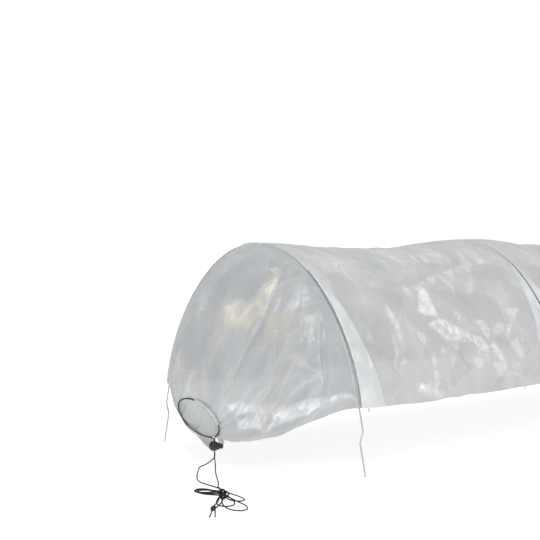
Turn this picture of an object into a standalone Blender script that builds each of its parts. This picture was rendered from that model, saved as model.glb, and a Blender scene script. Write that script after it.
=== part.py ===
"""Row cover tunnel. Six galvanised wire hoops stand in film sleeves, five bays of clear film join them and
fold like a concertina, and an end sleeve at each end is drawn shut by a cord with a spring cord lock.

Metres, +Z up. Z is 0 at the tips of the legs and X runs along the tunnel. The origin is on the ground under
the tunnel's middle. The end at -X is the left end, and -Y is the near side."""

import math

import bmesh
import bpy
from mathutils import Matrix, Vector

# Driving dimensions of the tunnel
HOOP_COUNT = 6
HOOP_SPACING = 0.600
HOOP_WIDTH = 0.500
ARCH_RISE = 0.276
HEM_HEIGHT = 0.115
SEAT_GAP = 0.0003

# Hoop wire. The arch is two Bezier halves, and its handles are shares of the half width and of the rise.
WIRE_DIAMETER = 0.003
CROWN_HANDLE_SHARE = 0.53
FOOT_HANDLE_SHARE = 0.43
FOOT_LEAN = math.radians(6)
LEG_LEAN = math.radians(13)
KINK_DROP = 0.039
KINK_HEIGHT = 0.020
KINK_STEP = 0.007
KINK_ROUNDING = 0.005
TIP_LENGTH = 0.004
ARCH_STEP_COUNT = 20

# Film
FILM_THICKNESS = 0.0008
BAY_SAG = 0.016
BAY_CREASE = 0.003
BAY_CREASE_COUNT = 5
BAY_COLUMN_COUNT = 6

# Sleeve that holds each hoop against the film
SLEEVE_CROWN_WIDTH = 0.016
SLEEVE_HEM_WIDTH = 0.018
SLEEVE_COLUMN_COUNT = 2

# End sleeve, gathered to an oval neck. Places are in the end's own frame: X 0 at its hoop, -X outwards.
NECK_CENTRE = Vector((-0.125, 0.019, 0.084))
NECK_HALF_WIDTH = 0.055
NECK_HALF_HEIGHT = 0.024
NECK_TILT = math.radians(20)
NECK_TOP_TURN = math.radians(20)
NECK_NEAR_TURN = math.radians(135)
NECK_FAR_TURN = math.radians(195)
END_CROWN_BULGE = 0.010
END_FOOT_BULGE = 0.035
END_TUCK_SHARE = 0.20
END_CROWN_REACH = 0.123
END_NEAR_REACH = 0.120
END_FAR_REACH = 0.072
END_NEAR_SPREAD = math.radians(94)
END_FAR_SPREAD = math.radians(114)
PLEAT_COUNT = 9
PLEAT_DEPTH = 0.0035
FRILL_DROP = 0.024
FRILL_FORWARD = 0.010
FRILL_FLARE_SHARE = 0.12
FRILL_NEAR_SHARE = 0.4
END_COLUMN_COUNT = 2 * ARCH_STEP_COUNT
END_ROW_COUNT = 7
FRILL_ROW_COUNT = 2

# Cord and cord lock
CORD_DIAMETER = 0.002
CORD_PITCH = 0.0027
CORD_STEP = 0.011
DRAWCORD_STEP = 0.010
DRAWCORD_CLEARANCE = 0.0009
LOCK_SLIDE = 0.011
LOCK_PLACE = Vector((-0.125, -0.0195, 0.0378))
LOCK_TURN = math.radians(-45)
LOCK_DIAMETER = 0.018
LOCK_FLAT_SHARE = 0.86
COLLAR_DIAMETER = 0.0125
COLLAR_LENGTH = 0.0102
BORE_DIAMETER = 0.0090
BORE_DEPTH = 0.0172
CORD_SLOT_LENGTH = 0.0050
CORD_SLOT_WIDTH = 0.0054
PLUNGER_DIAMETER = 0.0084
PLUNGER_TRAVEL = 0.003
PLUNGER_SLOT_LENGTH = 0.0062
PLUNGER_WALL = 0.0013
PINCH_OFFSET = 0.0024
BUTTON_DIAMETER = 0.0104
BUTTON_LENGTH = 0.0034
SPRING_WIRE = 0.0005
SPRING_DIAMETER = 0.0062
SPRING_TURNS = 3
SPRING_POINT_COUNT = 8
CUT_OVERRUN = 0.002
LOCK_SEGMENT_COUNT = 18
LOCK_RING_COUNT = 8
BORE_SEGMENT_COUNT = 14

# Hank: the cord runs to and fro through a waist, with a loop at each end of each run, and is wrapped there.
# A loop has the waist's end that it leaves, the turn it points, its reach, its half width and its level.
WAIST_LENGTH = 0.016
WRAP_TURNS = 4.5
WRAP_POINT_COUNT = 12
WRAP_CLEARANCE = 0.0006
WRAP_SQUARENESS_SHARE = 0.5
HANK_FALL = 0.045
HANK_LOOPS = (
    (1, math.radians(16), 0.060, 0.015, 3),
    (-1, math.radians(42), 0.046, 0.013, 2),
    (1, math.radians(-8), 0.080, 0.018, 2),
    (-1, math.radians(29), 0.062, 0.016, 1),
    (1, math.radians(4), 0.102, 0.021, 1),
    (-1, math.radians(17), 0.078, 0.018, 0),
)
LOOP_POINT_COUNT = 16

# The cords' free stretches, as places chosen by hand in the frame of their end. The left end's hank lies out in
# front of the tunnel, and the right end's lies close to the neck.
LEFT_HANK = ((-0.300, -0.235), math.radians(-121))
RIGHT_HANK = ((-0.172, -0.060), math.radians(-100))
LEFT_STRAIGHT = (
    (-0.1265, -0.0245, 0.0095), (-0.131, -0.0300, 0.0040), (-0.140, -0.0400, 0.0016), (-0.165, -0.0690, 0.0013),
    (-0.200, -0.1120, 0.0013), (-0.230, -0.1480, 0.0036),
)
LEFT_SLACK = (
    (-0.1265, -0.0125, 0.0105), (-0.1300, -0.0060, 0.0050), (-0.136, 0.0000, 0.0018), (-0.149, -0.0080, 0.0013),
    (-0.170, -0.0290, 0.0013), (-0.197, -0.0570, 0.0013), (-0.222, -0.0860, 0.0013), (-0.2370, -0.1120, 0.0013),
    (-0.2430, -0.1370, 0.0013), (-0.2470, -0.1600, 0.0013),
)
RIGHT_STRAIGHT = ((-0.1262, -0.0232, 0.0130), (-0.1330, -0.0265, 0.0112))
RIGHT_SLACK = (
    (-0.1255, -0.0170, 0.0120), (-0.1270, -0.0150, 0.0065), (-0.1310, -0.0165, 0.0030), (-0.1370, -0.0230, 0.0014),
)
# Near the hank: the way along from its waist's nearer end, the way across, and the height.
STRAIGHT_ARRIVAL = ((-0.060, 0.0060, 0.0064), (-0.036, 0.0040, 0.0090), (-0.015, 0.0000, 0.0130))
SLACK_ARRIVAL = ((-0.036, 0.0180, 0.0013), (-0.018, 0.0145, 0.0013), (-0.005, 0.0085, 0.0020),
                 (0.0005, 0.0050, 0.0050))
HANK_END = ((0.012, -0.0035, 0.0034), (0.030, -0.0100, 0.0022), (0.055, -0.0210, 0.0015), (0.070, -0.0275, 0.0036),
            (0.079, -0.0312, 0.0051), (0.087, -0.0345, 0.0046), (0.100, -0.0390, 0.0013), (0.121, -0.0450, 0.0013))
SECOND_END = ((0.0000, -0.0062, 0.0040), (0.005, -0.0092, 0.0015), (0.020, -0.0135, 0.0013),
              (0.045, -0.0240, 0.0013), (0.066, -0.0320, 0.0020))
SECOND_TIP = ((0.094, -0.0315, 0.0030), (0.107, -0.0340, 0.0013), (0.123, -0.0370, 0.0013))
KNOT_TURNS = 2.5
KNOT_POINT_COUNT = 8
KNOT_START = 0.0750
KNOT_LENGTH = 0.0084
END_STEP = 0.0065
KNOT_CLEARANCE = 0.0010

WIRE_RADIUS = WIRE_DIAMETER / 2
CORD_RADIUS = CORD_DIAMETER / 2
FILM_LIFT = WIRE_RADIUS + SEAT_GAP + FILM_THICKNESS / 2
TUNNEL_LENGTH = HOOP_SPACING * (HOOP_COUNT - 1)
LOCK_RADIUS = LOCK_DIAMETER / 2
LOCK_HALF_HEIGHT = LOCK_RADIUS * LOCK_FLAT_SHARE
LOCK_SHARP_ANGLE = math.radians(40)
PLUNGER_SLOT_START = PINCH_OFFSET - CORD_SLOT_LENGTH / 2
END_SEAT_WIDTH = SLEEVE_HEM_WIDTH / 2 + FILM_THICKNESS + SEAT_GAP
END_SEAT_SHARE = 1 / (END_ROW_COUNT + FRILL_ROW_COUNT)
END_BODY_SHARE = END_ROW_COUNT / (END_ROW_COUNT + FRILL_ROW_COUNT)


def start_scene():
    """Empties the scene and returns the collections for the parts and for the cutters."""
    for old in list(bpy.data.objects):
        bpy.data.objects.remove(old)
    parts = bpy.data.collections.new("row_cover_tunnel")
    cutters = bpy.data.collections.new("cutters")
    bpy.context.scene.collection.children.link(parts)
    bpy.context.scene.collection.children.link(cutters)
    cutters.hide_render = True
    return parts, cutters


def make_material(name, colour, roughness, metallic=0.0, alpha=1.0):
    material = bpy.data.materials.new(name)
    material.use_nodes = True
    shader = material.node_tree.nodes["Principled BSDF"]
    shader.inputs["Base Color"].default_value = (*colour, 1)
    shader.inputs["Roughness"].default_value = roughness
    shader.inputs["Metallic"].default_value = metallic
    shader.inputs["Alpha"].default_value = alpha
    return material


def add_mesh_object(name, mesh, material, parent=None):
    piece = bpy.data.objects.new(name, mesh)
    PARTS.objects.link(piece)
    if material is not None:
        piece.data.materials.append(material)
    piece.parent = parent
    return piece


def add_tube(name, points, diameter, material, parent=None, resolution=2):
    """A wire or cord: a poly line of these points with round sides and filled ends."""
    curve = bpy.data.curves.new(name, "CURVE")
    curve.dimensions = "3D"
    curve.bevel_depth = diameter / 2
    curve.bevel_resolution = resolution
    curve.use_fill_caps = True
    spline = curve.splines.new("POLY")
    spline.points.add(len(points) - 1)
    for slot, point in zip(spline.points, points):
        slot.co = (*point, 1)
    spline.use_smooth = True
    return add_mesh_object(name, curve, material, parent)


def smooth_route(points, step):
    """Points about step apart on a smooth curve through all the given points."""
    ends = [points[0] * 2 - points[1], *points, points[-1] * 2 - points[-2]]
    dense = []
    for before, start, stop, after in zip(ends, ends[1:], ends[2:], ends[3:]):
        pieces = max(2, round((stop - start).length / step * 4))
        for index in range(pieces):
            t = index / pieces
            dense.append(
                0.5
                * (
                    2 * start
                    + (stop - before) * t
                    + (2 * before - 5 * start + 4 * stop - after) * t**2
                    + (3 * start - before - 3 * stop + after) * t**3
                )
            )
    dense.append(points[-1])
    return spread_evenly(dense, max(2, round(route_length(dense) / step)))


def spread_evenly(dense, count):
    """The same route in this many steps of one length."""
    lengths = [0.0]
    for start, stop in zip(dense, dense[1:]):
        lengths.append(lengths[-1] + (stop - start).length)
    route, place = [], 0
    for index in range(count + 1):
        wanted = lengths[-1] * index / count
        while place < len(lengths) - 2 and lengths[place + 1] < wanted:
            place += 1
        span = lengths[place + 1] - lengths[place]
        share = (wanted - lengths[place]) / span if span else 0
        route.append(dense[place].lerp(dense[place + 1], min(1, share)))
    return route


def route_length(route):
    return sum((b - a).length for a, b in zip(route, route[1:]))


def half_arch(share):
    """(y, z) on the far half of the hoop and the way out there. The share is 0 at the crown and 1 at the hem."""
    half = HOOP_WIDTH / 2
    foot_handle = FOOT_HANDLE_SHARE * ARCH_RISE
    points = (
        Vector((0, ARCH_RISE)),
        Vector((CROWN_HANDLE_SHARE * half, ARCH_RISE)),
        Vector((half - foot_handle * math.sin(FOOT_LEAN), foot_handle * math.cos(FOOT_LEAN))),
        Vector((half, 0)),
    )
    t, s = share, 1 - share
    place = s**3 * points[0] + 3 * s * s * t * points[1] + 3 * s * t * t * points[2] + t**3 * points[3]
    along = (
        s * s * (points[1] - points[0]) + 2 * s * t * (points[2] - points[1]) + t * t * (points[3] - points[2])
    ).normalized()
    return place, Vector((-along.y, along.x))


def arch_point(u, x=0.0, lift=0.0):
    """A point over the hoop: u is -1 at the near hem, 0 at the crown and 1 at the far hem. Lift is outwards."""
    place, out = half_arch(abs(u))
    side = -1 if u < 0 else 1
    return Vector((x, side * (place.x + lift * out.x), HEM_HEIGHT + place.y + lift * out.y))


def rounded(points, radius):
    """The corners of a line each cut by two points, radius away along its sides."""
    result = [points[0]]
    for before, corner, after in zip(points, points[1:], points[2:]):
        result.append(corner + (before - corner).normalized() * radius)
        result.append(corner.lerp((before + after) / 2, radius / (before - after).length / 2))
        result.append(corner + (after - corner).normalized() * radius)
    result.append(points[-1])
    return result


def leg_points():
    """(outwards, z) of a leg from the hem down: out at its lean, a short kink back in, then out again."""
    lean = math.tan(LEG_LEAN)
    half = HOOP_WIDTH / 2
    kink_top = Vector((half + lean * KINK_DROP, HEM_HEIGHT - KINK_DROP))
    kink_foot = kink_top + Vector((-KINK_STEP, -KINK_HEIGHT))
    tip_top = Vector((kink_foot.x + lean * (kink_foot.y - TIP_LENGTH), TIP_LENGTH))
    corners = [Vector((half, HEM_HEIGHT)), kink_top, kink_foot, tip_top]
    return rounded(corners, KINK_ROUNDING)[1:] + [Vector((tip_top.x, 0))]


def hoop_route():
    legs = leg_points()
    near = [Vector((0, -p.x, p.y)) for p in reversed(legs)]
    far = [Vector((0, p.x, p.y)) for p in legs]
    arch = [arch_point(index / ARCH_STEP_COUNT * 2 - 1) for index in range(ARCH_STEP_COUNT + 1)]
    return near + arch + far


def film_piece(name, columns, rows, place, material, parent=None):
    """A sheet of film: a unit grid laid where place(across, along) says, both from 0 to 1, and given its thickness."""
    mesh = bpy.data.meshes.new(name)
    sheet = bmesh.new()
    bmesh.ops.create_grid(sheet, x_segments=columns, y_segments=rows, size=0.5)
    for vertex in sheet.verts:
        vertex.co = place(vertex.co.x + 0.5, vertex.co.y + 0.5)
    bmesh.ops.recalc_face_normals(sheet, faces=sheet.faces)
    sheet.to_mesh(mesh)
    sheet.free()
    mesh.shade_smooth()
    piece = add_mesh_object(name, mesh, material, parent)
    wall = piece.modifiers.new("film", "SOLIDIFY")
    wall.thickness = FILM_THICKNESS
    wall.offset = 0
    wall.use_rim = True
    return piece


def bay_x(across):
    """The first and the last column of a bay lie flat on the sleeves, and the others share the rest."""
    seat = SLEEVE_HEM_WIDTH / 2
    column = across * BAY_COLUMN_COUNT
    if column <= 1:
        return max(SEAT_GAP / 2, seat * column)
    if column >= BAY_COLUMN_COUNT - 1:
        return HOOP_SPACING - max(SEAT_GAP / 2, seat * (BAY_COLUMN_COUNT - column))
    return seat + (HOOP_SPACING - 2 * seat) * (column - 1) / (BAY_COLUMN_COUNT - 2)


def bay_place(across, along):
    """The film of a bay sags in between its two hoops and has shallow creases that run askew."""
    x = bay_x(across)
    u = along * 2 - 1
    free = (x - SLEEVE_HEM_WIDTH / 2) / (HOOP_SPACING - SLEEVE_HEM_WIDTH)
    span = math.sin(math.pi * max(0, min(1, free))) ** 2
    crease = math.sin(math.pi * BAY_CREASE_COUNT * along + math.pi * across)
    return arch_point(u, x, FILM_LIFT - BAY_SAG * span * (1 - u**4 / 2) - BAY_CREASE * span * (1 + crease) / 2)


def sleeve_place(across, along):
    """The sleeve lies under the film at its two edges and passes under the wire between them."""
    u = along * 2 - 1
    width = SLEEVE_CROWN_WIDTH + (SLEEVE_HEM_WIDTH - SLEEVE_CROWN_WIDTH) * u**2
    x = (across - 0.5) * width
    edge = FILM_LIFT - FILM_THICKNESS - SEAT_GAP
    under = -WIRE_RADIUS - SEAT_GAP - FILM_THICKNESS / 2
    share = math.cos(math.pi * (across - 0.5)) ** 2
    return arch_point(u, x, edge + (under - edge) * share)


def neck_turn(u):
    return NECK_TOP_TURN + u * (NECK_NEAR_TURN if u < 0 else NECK_FAR_TURN)


def neck_point(turn, out=0.0, x=0.0):
    """A point round the gathered neck, a distance out from its oval."""
    place = Vector((x, (NECK_HALF_WIDTH + out) * math.sin(turn), (NECK_HALF_HEIGHT + out) * math.cos(turn)))
    return NECK_CENTRE + Matrix.Rotation(NECK_TILT, 3, "X") @ place


def end_place(across, along):
    """The end sleeve seats on its hoop, rounds over outwards and runs to the neck; past it the frill hangs."""
    u = across * 2 - 1
    turn = neck_turn(u)
    neck = neck_point(turn)
    if along > END_BODY_SHARE:
        past = (along - END_BODY_SHARE) / (1 - END_BODY_SHARE)
        top = (1 + math.cos(turn)) / 2
        wave = math.cos(math.pi * PLEAT_COUNT * across) * PLEAT_DEPTH * past
        size = 1 - (1 - FRILL_NEAR_SHARE) * max(0, -u) ** 3
        flare = (neck - NECK_CENTRE) * size * FRILL_FLARE_SHARE * past
        forward = size * FRILL_FORWARD * (1 + top) * (1 - (1 - past) ** 2)
        return neck + flare * past + Vector((-forward - wave * past, 0, -size * FRILL_DROP * past**4))
    seat = END_SEAT_WIDTH
    if along < END_SEAT_SHARE:
        return arch_point(u, -SEAT_GAP / 2 - (seat - SEAT_GAP / 2) * along / END_SEAT_SHARE, FILM_LIFT)
    t = (along - END_SEAT_SHARE) / (END_BODY_SHARE - END_SEAT_SHARE)
    bulge = END_CROWN_BULGE + (END_FOOT_BULGE - END_CROWN_BULGE) * u * u
    start = arch_point(u, -seat, FILM_LIFT)
    leave = start + Vector((-bulge, -END_TUCK_SHARE * start.y, 0))
    spread = u * (END_NEAR_SPREAD if u < 0 else END_FAR_SPREAD)
    reach = END_CROWN_REACH + ((END_NEAR_REACH if u < 0 else END_FAR_REACH) - END_CROWN_REACH) * u * u
    arrive = neck + Vector((0, math.sin(spread), math.cos(spread))) * reach
    s = 1 - t
    place = s**3 * start + 3 * s * s * t * leave + 3 * s * t * t * arrive + t**3 * neck
    wave = math.cos(math.pi * PLEAT_COUNT * across) * PLEAT_DEPTH * math.sin(math.pi * t) ** 2 * t * 2
    middle = Vector((-NECK_HALF_WIDTH, 0, HEM_HEIGHT + NECK_HALF_HEIGHT))
    return place + (place - middle).normalized() * wave


def lock_matrix():
    return Matrix.Translation(LOCK_PLACE) @ Matrix.Rotation(LOCK_TURN, 4, "Z")


def cord_in_lock(side, height):
    """A point of one of the two cords in the lock, where the slots leave a way through, at a height over its centre."""
    way_through = (PLUNGER_SLOT_START + CORD_SLOT_LENGTH / 2) / 2
    return lock_matrix() @ Vector((way_through, side * CORD_PITCH / 2, height))


def drawcord_route():
    """Up through the lock, round the neck in its hem and down through the lock again."""
    clear = FILM_THICKNESS / 2 + DRAWCORD_CLEARANCE + CORD_RADIUS
    around = []
    for column in range(END_COLUMN_COUNT + 1):
        around.append(neck_point(neck_turn(column / END_COLUMN_COUNT * 2 - 1), clear, -clear))
    above = LOCK_HALF_HEIGHT + CORD_PITCH
    below = LOCK_HALF_HEIGHT + SEAT_GAP
    heights = (-below, 0, above, above + CORD_PITCH)
    up = [cord_in_lock(-1, height) for height in heights]
    down = [cord_in_lock(1, height) for height in reversed(heights)]
    first = smooth_route(up + around[:1], DRAWCORD_STEP)
    last = smooth_route(around[-1:] + down, DRAWCORD_STEP)
    return first + around[1:-1] + last


def tail_start(side):
    """The first points of a cord under the lock: straight down, as far as the lock can slide."""
    top = LOCK_HALF_HEIGHT + 2 * SEAT_GAP
    return [cord_in_lock(side, -top), cord_in_lock(side, -top - LOCK_SLIDE)]


def least_gap(route, diameter):
    """The least gap between stretches of one tube that lie more than 3 diameters apart along it."""
    least = math.inf
    along = [0.0]
    for start, stop in zip(route, route[1:]):
        along.append(along[-1] + (stop - start).length)
    for i in range(len(route) - 1):
        for j in range(i + 2, len(route) - 1):
            if along[j] - along[i + 1] < 3 * diameter:
                continue
            least = min(least, segment_gap(route[i], route[i + 1], route[j], route[j + 1]))
    return least - diameter


def segment_gap(a, b, c, d):
    """The least distance between segment a-b and segment c-d, from their ends and four inner points."""
    places = (0, 0.25, 0.5, 0.75, 1)
    return min(
        min(point_gap(a.lerp(b, s), c, d) for s in places), min(point_gap(c.lerp(d, s), a, b) for s in places)
    )


def point_gap(point, start, stop):
    side = stop - start
    share = max(0, min(1, (point - start).dot(side) / side.length_squared))
    return (point - start - side * share).length


def hank_axes(hank):
    """The hank's centre on the ground, the way its front points and the way across it."""
    centre, turn = hank
    front = Vector((math.cos(turn), math.sin(turn), 0))
    return Vector((centre[0], centre[1], 0)), front, Vector((-front.y, front.x, 0))


def ground_height(layer):
    return CORD_RADIUS + SEAT_GAP + CORD_PITCH * layer


def waist_point(hank, end, side, level):
    """A point at one end of the waist: end is -1 or 1, side is -1 or 1, level counts up from 0."""
    return hank_place(hank, end, (0, side * CORD_PITCH / 2, ground_height(level + 1)))


def hank_place(hank, end, place):
    """A place given by its way along and across from one end of the waist, and its height."""
    centre, front, across = hank_axes(hank)
    along, out, height = place
    return centre + front * (end * WAIST_LENGTH / 2 + along) + across * out + Vector((0, 0, height))


def loop_points(hank, loop):
    """A pear-shaped loop out of one end of the waist and back in beside itself, coming down as it goes out."""
    end, turn, reach, half_width, level = loop
    _, front, across = hank_axes(hank)
    way = Matrix.Rotation(turn, 3, "Z") @ (front * end)
    beside = Vector((way.y, -way.x, 0))
    root = hank_place(hank, end, (0, 0, 0))
    dense = []
    steps = LOOP_POINT_COUNT * 4
    for index in range(steps + 1):
        t = math.pi * index / steps
        out = reach * math.sin(t) ** 2
        near = max(0.0, 1 - out / HANK_FALL)
        side = -end * CORD_PITCH / 2 * math.cos(t)
        point = root + way * out + beside * (half_width * math.sin(2 * t) * math.sin(t)) + across * (side * near)
        point.z = ground_height(level + near * near * (3 - 2 * near))
        dense.append(point)
    return spread_evenly(dense, LOOP_POINT_COUNT)


def hank_route(hank):
    """The hank as one cord, from the back of its waist to its free end. Each run back comes down one level."""
    top = HANK_LOOPS[0][4]
    points = [waist_point(hank, -1, -1, top), hank_place(hank, 0, (0, -CORD_PITCH / 2, ground_height(top + 1)))]
    for loop in HANK_LOOPS:
        end, level = loop[0], loop[4]
        points += loop_points(hank, loop)
        middle = level + (0.5 if end > 0 else 1)
        points.append(hank_place(hank, 0, (0, end * CORD_PITCH / 2, ground_height(middle))))
    points.append(waist_point(hank, 1, -1, HANK_LOOPS[-1][4]))
    free = [points[-1]] + [hank_place(hank, 1, place) for place in HANK_END]
    return points + smooth_route(free, END_STEP)[1:]


def wrap_route(hank):
    """The slack cord's turns round the waist, from its back end to its front end."""
    top = HANK_LOOPS[0][4]
    side_radius = CORD_PITCH / 2 + CORD_DIAMETER + WRAP_CLEARANCE
    up_radius = top * CORD_PITCH / 2 + CORD_DIAMETER + WRAP_CLEARANCE
    middle = ground_height(1 + top / 2)
    points = []
    steps = round(WRAP_TURNS * WRAP_POINT_COUNT)
    for index in range(steps + 1):
        turn = 2 * math.pi * index / WRAP_POINT_COUNT
        along = (index / steps - 0.5) * CORD_PITCH * WRAP_TURNS
        side = math.copysign(abs(math.cos(turn)) ** WRAP_SQUARENESS_SHARE, math.cos(turn))
        up = math.copysign(abs(math.sin(turn)) ** WRAP_SQUARENESS_SHARE, math.sin(turn))
        points.append(hank_place(hank, 0, (along, side_radius * side, middle + up_radius * up)))
    return points


def tail_route(side, places, hank, arrival, seat):
    """A cord from the lock to the start of another stretch, which it meets squarely, a seat gap away."""
    lead = (seat[1] - seat[0]).normalized()
    free = [Vector(place) for place in places] + [hank_place(hank, -1, place) for place in arrival]
    run_in = seat[0] - lead * (CORD_DIAMETER + SEAT_GAP)
    return smooth_route(tail_start(side) + free + [run_in], CORD_STEP) + [seat[0] - lead * SEAT_GAP]


def second_end_route(hank, wrap):
    """The second short end: it leaves the wrap and ties round the first one in a small knot."""
    lead = (wrap[-1] - wrap[-2]).normalized()
    start = wrap[-1] + lead * SEAT_GAP
    first_end = smooth_route([hank_place(hank, 1, place) for place in HANK_END], CORD_RADIUS)
    _, front, across = hank_axes(hank)
    root = hank_place(hank, 1, (0, 0, 0))
    turns = []
    radius = CORD_DIAMETER + KNOT_CLEARANCE
    steps = round(KNOT_TURNS * KNOT_POINT_COUNT)
    for index in range(steps + 1):
        along = KNOT_START + KNOT_LENGTH * index / steps
        middle = min(first_end, key=lambda point: abs((point - root).dot(front) - along))
        turn = math.pi + 2 * math.pi * index / KNOT_POINT_COUNT
        offset = across * (radius * math.cos(turn)) + Vector((0, 0, radius * math.sin(turn)))
        turns.append(middle + offset)
    before = [start + lead * CORD_DIAMETER] + [hank_place(hank, 1, place) for place in SECOND_END]
    after = [hank_place(hank, 1, place) for place in SECOND_TIP]
    way_in = smooth_route(before + turns[:1], END_STEP)
    return [start] + way_in + turns[1:-1] + smooth_route(turns[-1:] + after, END_STEP)


PARTS, CUTTERS = start_scene()
GALVANISED = make_material("galvanised_wire", (0.52, 0.55, 0.56), 0.38, 0.9)
FILM = make_material("clear_film", (0.80, 0.82, 0.83), 0.22, alpha=0.3)
SLEEVE_FILM = make_material("sleeve_film", (0.84, 0.85, 0.86), 0.35, alpha=0.5)
CORD = make_material("black_cord", (0.015, 0.015, 0.016), 0.75)
LOCK_PLASTIC = make_material("black_plastic", (0.02, 0.02, 0.022), 0.35)
STEEL = make_material("spring_steel", (0.6, 0.6, 0.58), 0.3, 1.0)


def make_hoops():
    route = hoop_route()
    for index in range(HOOP_COUNT):
        hoop = add_tube(f"hoop_{index + 1}", route, WIRE_DIAMETER, GALVANISED, resolution=1)
        hoop.location.x = hoop_x(index)


def hoop_x(index):
    return -TUNNEL_LENGTH / 2 + HOOP_SPACING * index


def make_covers():
    for index in range(HOOP_COUNT):
        sleeve = film_piece(
            f"hoop_sleeve_{index + 1}", SLEEVE_COLUMN_COUNT, ARCH_STEP_COUNT, sleeve_place, SLEEVE_FILM
        )
        sleeve.location.x = hoop_x(index)
    for index in range(HOOP_COUNT - 1):
        bay = film_piece(f"cover_bay_{index + 1}", BAY_COLUMN_COUNT, ARCH_STEP_COUNT, bay_place, FILM)
        bay.location.x = hoop_x(index)


def add_round(name, radius, start, stop, segments, material=None, parent=None, collection=None):
    """A closed cylinder along its own X from start to stop."""
    mesh = bpy.data.meshes.new(name)
    round_bar = bmesh.new()
    turned = Matrix.Translation(((start + stop) / 2, 0, 0)) @ Matrix.Rotation(math.pi / 2, 4, "Y")
    bmesh.ops.create_cone(
        round_bar, cap_ends=True, segments=segments, radius1=radius, radius2=radius, depth=stop - start, matrix=turned
    )
    round_bar.to_mesh(mesh)
    round_bar.free()
    piece = bpy.data.objects.new(name, mesh)
    (collection or PARTS).objects.link(piece)
    if material is not None:
        mesh.materials.append(material)
    piece.parent = parent
    return piece


def add_slot_cutter(name, start, stop, width, height, parent):
    """A box along its own X from start to stop, for the cords' slot."""
    mesh = bpy.data.meshes.new(name)
    box = bmesh.new()
    size = Matrix.Diagonal((stop - start, width, height, 1))
    bmesh.ops.create_cube(box, size=1, matrix=Matrix.Translation(((start + stop) / 2, 0, 0)) @ size)
    box.to_mesh(mesh)
    box.free()
    cutter = bpy.data.objects.new(name, mesh)
    CUTTERS.objects.link(cutter)
    cutter.parent = parent
    return cutter


def use_tool(piece, tool, operation):
    tool.hide_render = True
    tool.display_type = "WIRE"
    change = piece.modifiers.new(operation.lower(), "BOOLEAN")
    change.operation = operation
    change.object = tool


def make_lock_body(name, parent):
    """A ball cut flat where the cords pass, with a collar that the button enters."""
    mesh = bpy.data.meshes.new(name)
    ball = bmesh.new()
    turned = Matrix.Rotation(math.pi / 2, 4, "Y")
    bmesh.ops.create_uvsphere(
        ball, u_segments=LOCK_SEGMENT_COUNT, v_segments=LOCK_RING_COUNT, radius=LOCK_RADIUS, matrix=turned
    )
    for vertex in ball.verts:
        vertex.co.z = max(-LOCK_HALF_HEIGHT, min(LOCK_HALF_HEIGHT, vertex.co.z))
    ball.to_mesh(mesh)
    ball.free()
    body = add_mesh_object(name, mesh, LOCK_PLASTIC, parent)
    collar = add_round(name + "_collar", COLLAR_DIAMETER / 2, 0, COLLAR_LENGTH, LOCK_SEGMENT_COUNT, None, parent, CUTTERS)
    bore = add_round(
        name + "_bore", BORE_DIAMETER / 2, COLLAR_LENGTH - BORE_DEPTH, COLLAR_LENGTH + CUT_OVERRUN, BORE_SEGMENT_COUNT,
        None, parent, CUTTERS,
    )
    half_slot = CORD_SLOT_LENGTH / 2
    slot = add_slot_cutter(
        name + "_slot", -half_slot, half_slot, CORD_SLOT_WIDTH, LOCK_DIAMETER + CUT_OVERRUN, parent
    )
    use_tool(body, collar, "UNION")
    use_tool(body, bore, "DIFFERENCE")
    use_tool(body, slot, "DIFFERENCE")
    mesh.shade_smooth()
    mesh.set_sharp_from_angle(angle=LOCK_SHARP_ANGLE)
    return body


def make_plunger(name, parent):
    """The button's stem has a slot of its own, which the spring holds out of line so that it pinches the cords."""
    button_start = COLLAR_LENGTH + PLUNGER_TRAVEL + SEAT_GAP
    plunger = add_round(
        name, PLUNGER_DIAMETER / 2, PLUNGER_SLOT_START - PLUNGER_WALL, button_start + BUTTON_LENGTH / 2,
        BORE_SEGMENT_COUNT, LOCK_PLASTIC, parent,
    )
    mesh = bpy.data.meshes.new(name + "_button")
    button = bmesh.new()
    turned = Matrix.Translation((button_start, 0, 0)) @ Matrix.Rotation(math.pi / 2, 4, "Y")
    bmesh.ops.create_uvsphere(
        button, u_segments=BORE_SEGMENT_COUNT, v_segments=LOCK_RING_COUNT, radius=BUTTON_DIAMETER / 2, matrix=turned
    )
    for vertex in button.verts:
        depth = max(0.0, vertex.co.x - button_start)
        vertex.co.x = button_start + depth * BUTTON_LENGTH / (BUTTON_DIAMETER / 2)
    button.to_mesh(mesh)
    button.free()
    cap = bpy.data.objects.new(name + "_button", mesh)
    CUTTERS.objects.link(cap)
    cap.parent = parent
    slot = add_slot_cutter(
        name + "_slot", PLUNGER_SLOT_START, PLUNGER_SLOT_START + PLUNGER_SLOT_LENGTH, CORD_SLOT_WIDTH,
        LOCK_DIAMETER, parent,
    )
    use_tool(plunger, cap, "UNION")
    use_tool(plunger, slot, "DIFFERENCE")
    plunger.data.shade_smooth()
    plunger.data.set_sharp_from_angle(angle=LOCK_SHARP_ANGLE)
    return plunger


def make_spring(name, parent):
    """A coil between the blind end of the bore and the plunger."""
    start = COLLAR_LENGTH - BORE_DEPTH + SPRING_WIRE / 2 + SEAT_GAP
    stop = PLUNGER_SLOT_START - PLUNGER_WALL - SPRING_WIRE / 2 - SEAT_GAP
    radius = SPRING_DIAMETER / 2 - SPRING_WIRE / 2
    steps = SPRING_TURNS * SPRING_POINT_COUNT
    points = []
    for index in range(steps + 1):
        turn = 2 * math.pi * index / SPRING_POINT_COUNT
        along = start + (stop - start) * index / steps
        points.append(Vector((along, radius * math.cos(turn), radius * math.sin(turn))))
    return add_tube(name, points, SPRING_WIRE, STEEL, parent, resolution=1)


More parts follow.
